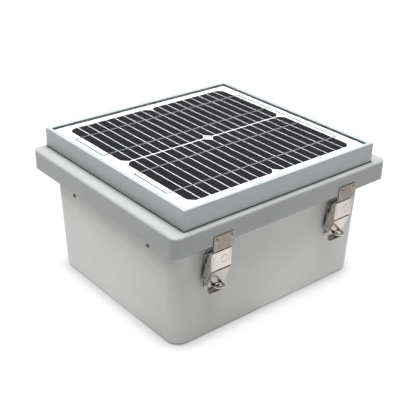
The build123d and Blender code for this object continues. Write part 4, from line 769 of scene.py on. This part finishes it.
def build_stage():
    """A pale floor that reads as white paper, a soft overhead sky and one weak softbox on the left."""
    mesh = bpy.data.meshes.new("floor")
    shape = bmesh.new()
    bmesh.ops.create_grid(shape, x_segments=2, y_segments=2, size=4.0)
    shape.to_mesh(mesh)
    shape.free()
    floor = bpy.data.objects.new("floor", mesh)
    floor.location = (0.0, 0.0, -0.0003)
    bpy.context.scene.collection.objects.link(floor)
    s = Shader("floor_paper")
    paper = s.node("BsdfDiffuse", Color=(0.20, 0.20, 0.20))
    level = s.node("VectorMath", props={"operation": "MULTIPLY"}, i0=s.coords, i1=(1.0, 1.0, 0.0))
    bearing = s.node("VectorMath", props={"operation": "NORMALIZE"}, i0=level)
    toward = (sin(CAMERA_AZIMUTH), -cos(CAMERA_AZIMUTH), 0.0)
    nearness = s.node("VectorMath", out=1, props={"operation": "DOT_PRODUCT"}, i0=bearing, i1=toward)
    bounced = s.ramp(nearness, FLOOR_BOUNCE, FLOOR_BOUNCE_AT_CAMERA, (0.72, 0.96))
    seen = s.node("LightPath")
    bounced = s.math("MULTIPLY", bounced, s.ramp(s.axis("X"), 1.0, FLOOR_BOUNCE_FAR_RIGHT, (-0.02, 0.35)))
    # Painted contact shadow: the floor as the camera sees it darkens where the object closes it in.
    seen_with_contact_shadow = s.math("MULTIPLY", s.crevice_shade(0.022, 0.62, (0.35, 0.90)), FLOOR_SEEN)
    strength = s.node("Mix", Factor=seen, i2=bounced, i3=seen_with_contact_shadow)
    glow = s.node("Emission", Color=(1.0, 1.0, 1.0), Strength=strength)
    both = s.node("AddShader", i0=paper, i1=glow)
    s.tree.links.new(both, s.output.inputs["Surface"])
    floor.data.materials.append(s.material)

    world = bpy.data.worlds.new("studio")
    bpy.context.scene.world = world
    world.use_nodes = True
    tree = world.node_tree
    tree.nodes.clear()
    out = tree.nodes.new("ShaderNodeOutputWorld")
    coords = tree.nodes.new("ShaderNodeTexCoord")
    apart = tree.nodes.new("ShaderNodeSeparateXYZ")
    tree.links.new(coords.outputs["Generated"], apart.inputs[0])
    path = tree.nodes.new("ShaderNodeLightPath")
    sky = tree.nodes.new("ShaderNodeMix")
    tree.links.new(path.outputs["Is Glossy Ray"], sky.inputs["Factor"])
    for socket, zenith in (("A", SKY_ZENITH), ("B", SKY_ZENITH_MIRRORED)):
        lift = tree.nodes.new("ShaderNodeMapRange")
        lift.interpolation_type = "SMOOTHSTEP"
        lift.inputs["From Min"].default_value, lift.inputs["From Max"].default_value = SKY_FADE
        lift.inputs["To Min"].default_value, lift.inputs["To Max"].default_value = SKY_LEVEL, zenith
        tree.links.new(apart.outputs["Z"], lift.inputs["Value"])
        tree.links.new(lift.outputs["Result"], sky.inputs[socket])
    fill = tree.nodes.new("ShaderNodeBackground")
    fill.inputs["Color"].default_value = (1.0, 1.0, 1.0, 1.0)
    tree.links.new(sky.outputs["Result"], fill.inputs["Strength"])
    seen = tree.nodes.new("ShaderNodeBackground")
    seen.inputs["Color"].default_value = (1.0, 1.0, 1.0, 1.0)
    mix = tree.nodes.new("ShaderNodeMixShader")
    tree.links.new(path.outputs["Is Camera Ray"], mix.inputs["Fac"])
    tree.links.new(fill.outputs[0], mix.inputs[1])
    tree.links.new(seen.outputs[0], mix.inputs[2])
    tree.links.new(mix.outputs[0], out.inputs["Surface"])
    add_area("left_softbox", (-1.9, -0.3, 0.7), 0.8, 1.9)


def build_camera():
    """A camera set by its bearing round the object, its height above the floor and a slight roll."""
    back = Vector((
        sin(CAMERA_AZIMUTH) * cos(CAMERA_ELEVATION),
        -cos(CAMERA_AZIMUTH) * cos(CAMERA_ELEVATION),
        sin(CAMERA_ELEVATION),
    ))
    right = Vector((cos(CAMERA_AZIMUTH), sin(CAMERA_AZIMUTH), 0.0))
    up = back.cross(right)
    rolled_right = right * cos(CAMERA_ROLL) + up * sin(CAMERA_ROLL)
    rolled_up = up * cos(CAMERA_ROLL) - right * sin(CAMERA_ROLL)
    data = bpy.data.cameras.new("camera")
    data.sensor_width = SENSOR_WIDTH
    data.lens = FOCAL_LENGTH
    data.shift_y = VERTICAL_SHIFT
    camera = bpy.data.objects.new("camera", data)
    turn = Matrix((rolled_right, rolled_up, back)).transposed().to_4x4()
    camera.matrix_world = Matrix.Translation(CAMERA_TARGET + back * CAMERA_DISTANCE) @ turn
    bpy.context.scene.collection.objects.link(camera)
    bpy.context.scene.camera = camera


build_stage()
build_camera()
bpy.context.scene.view_settings.view_transform = "Standard"
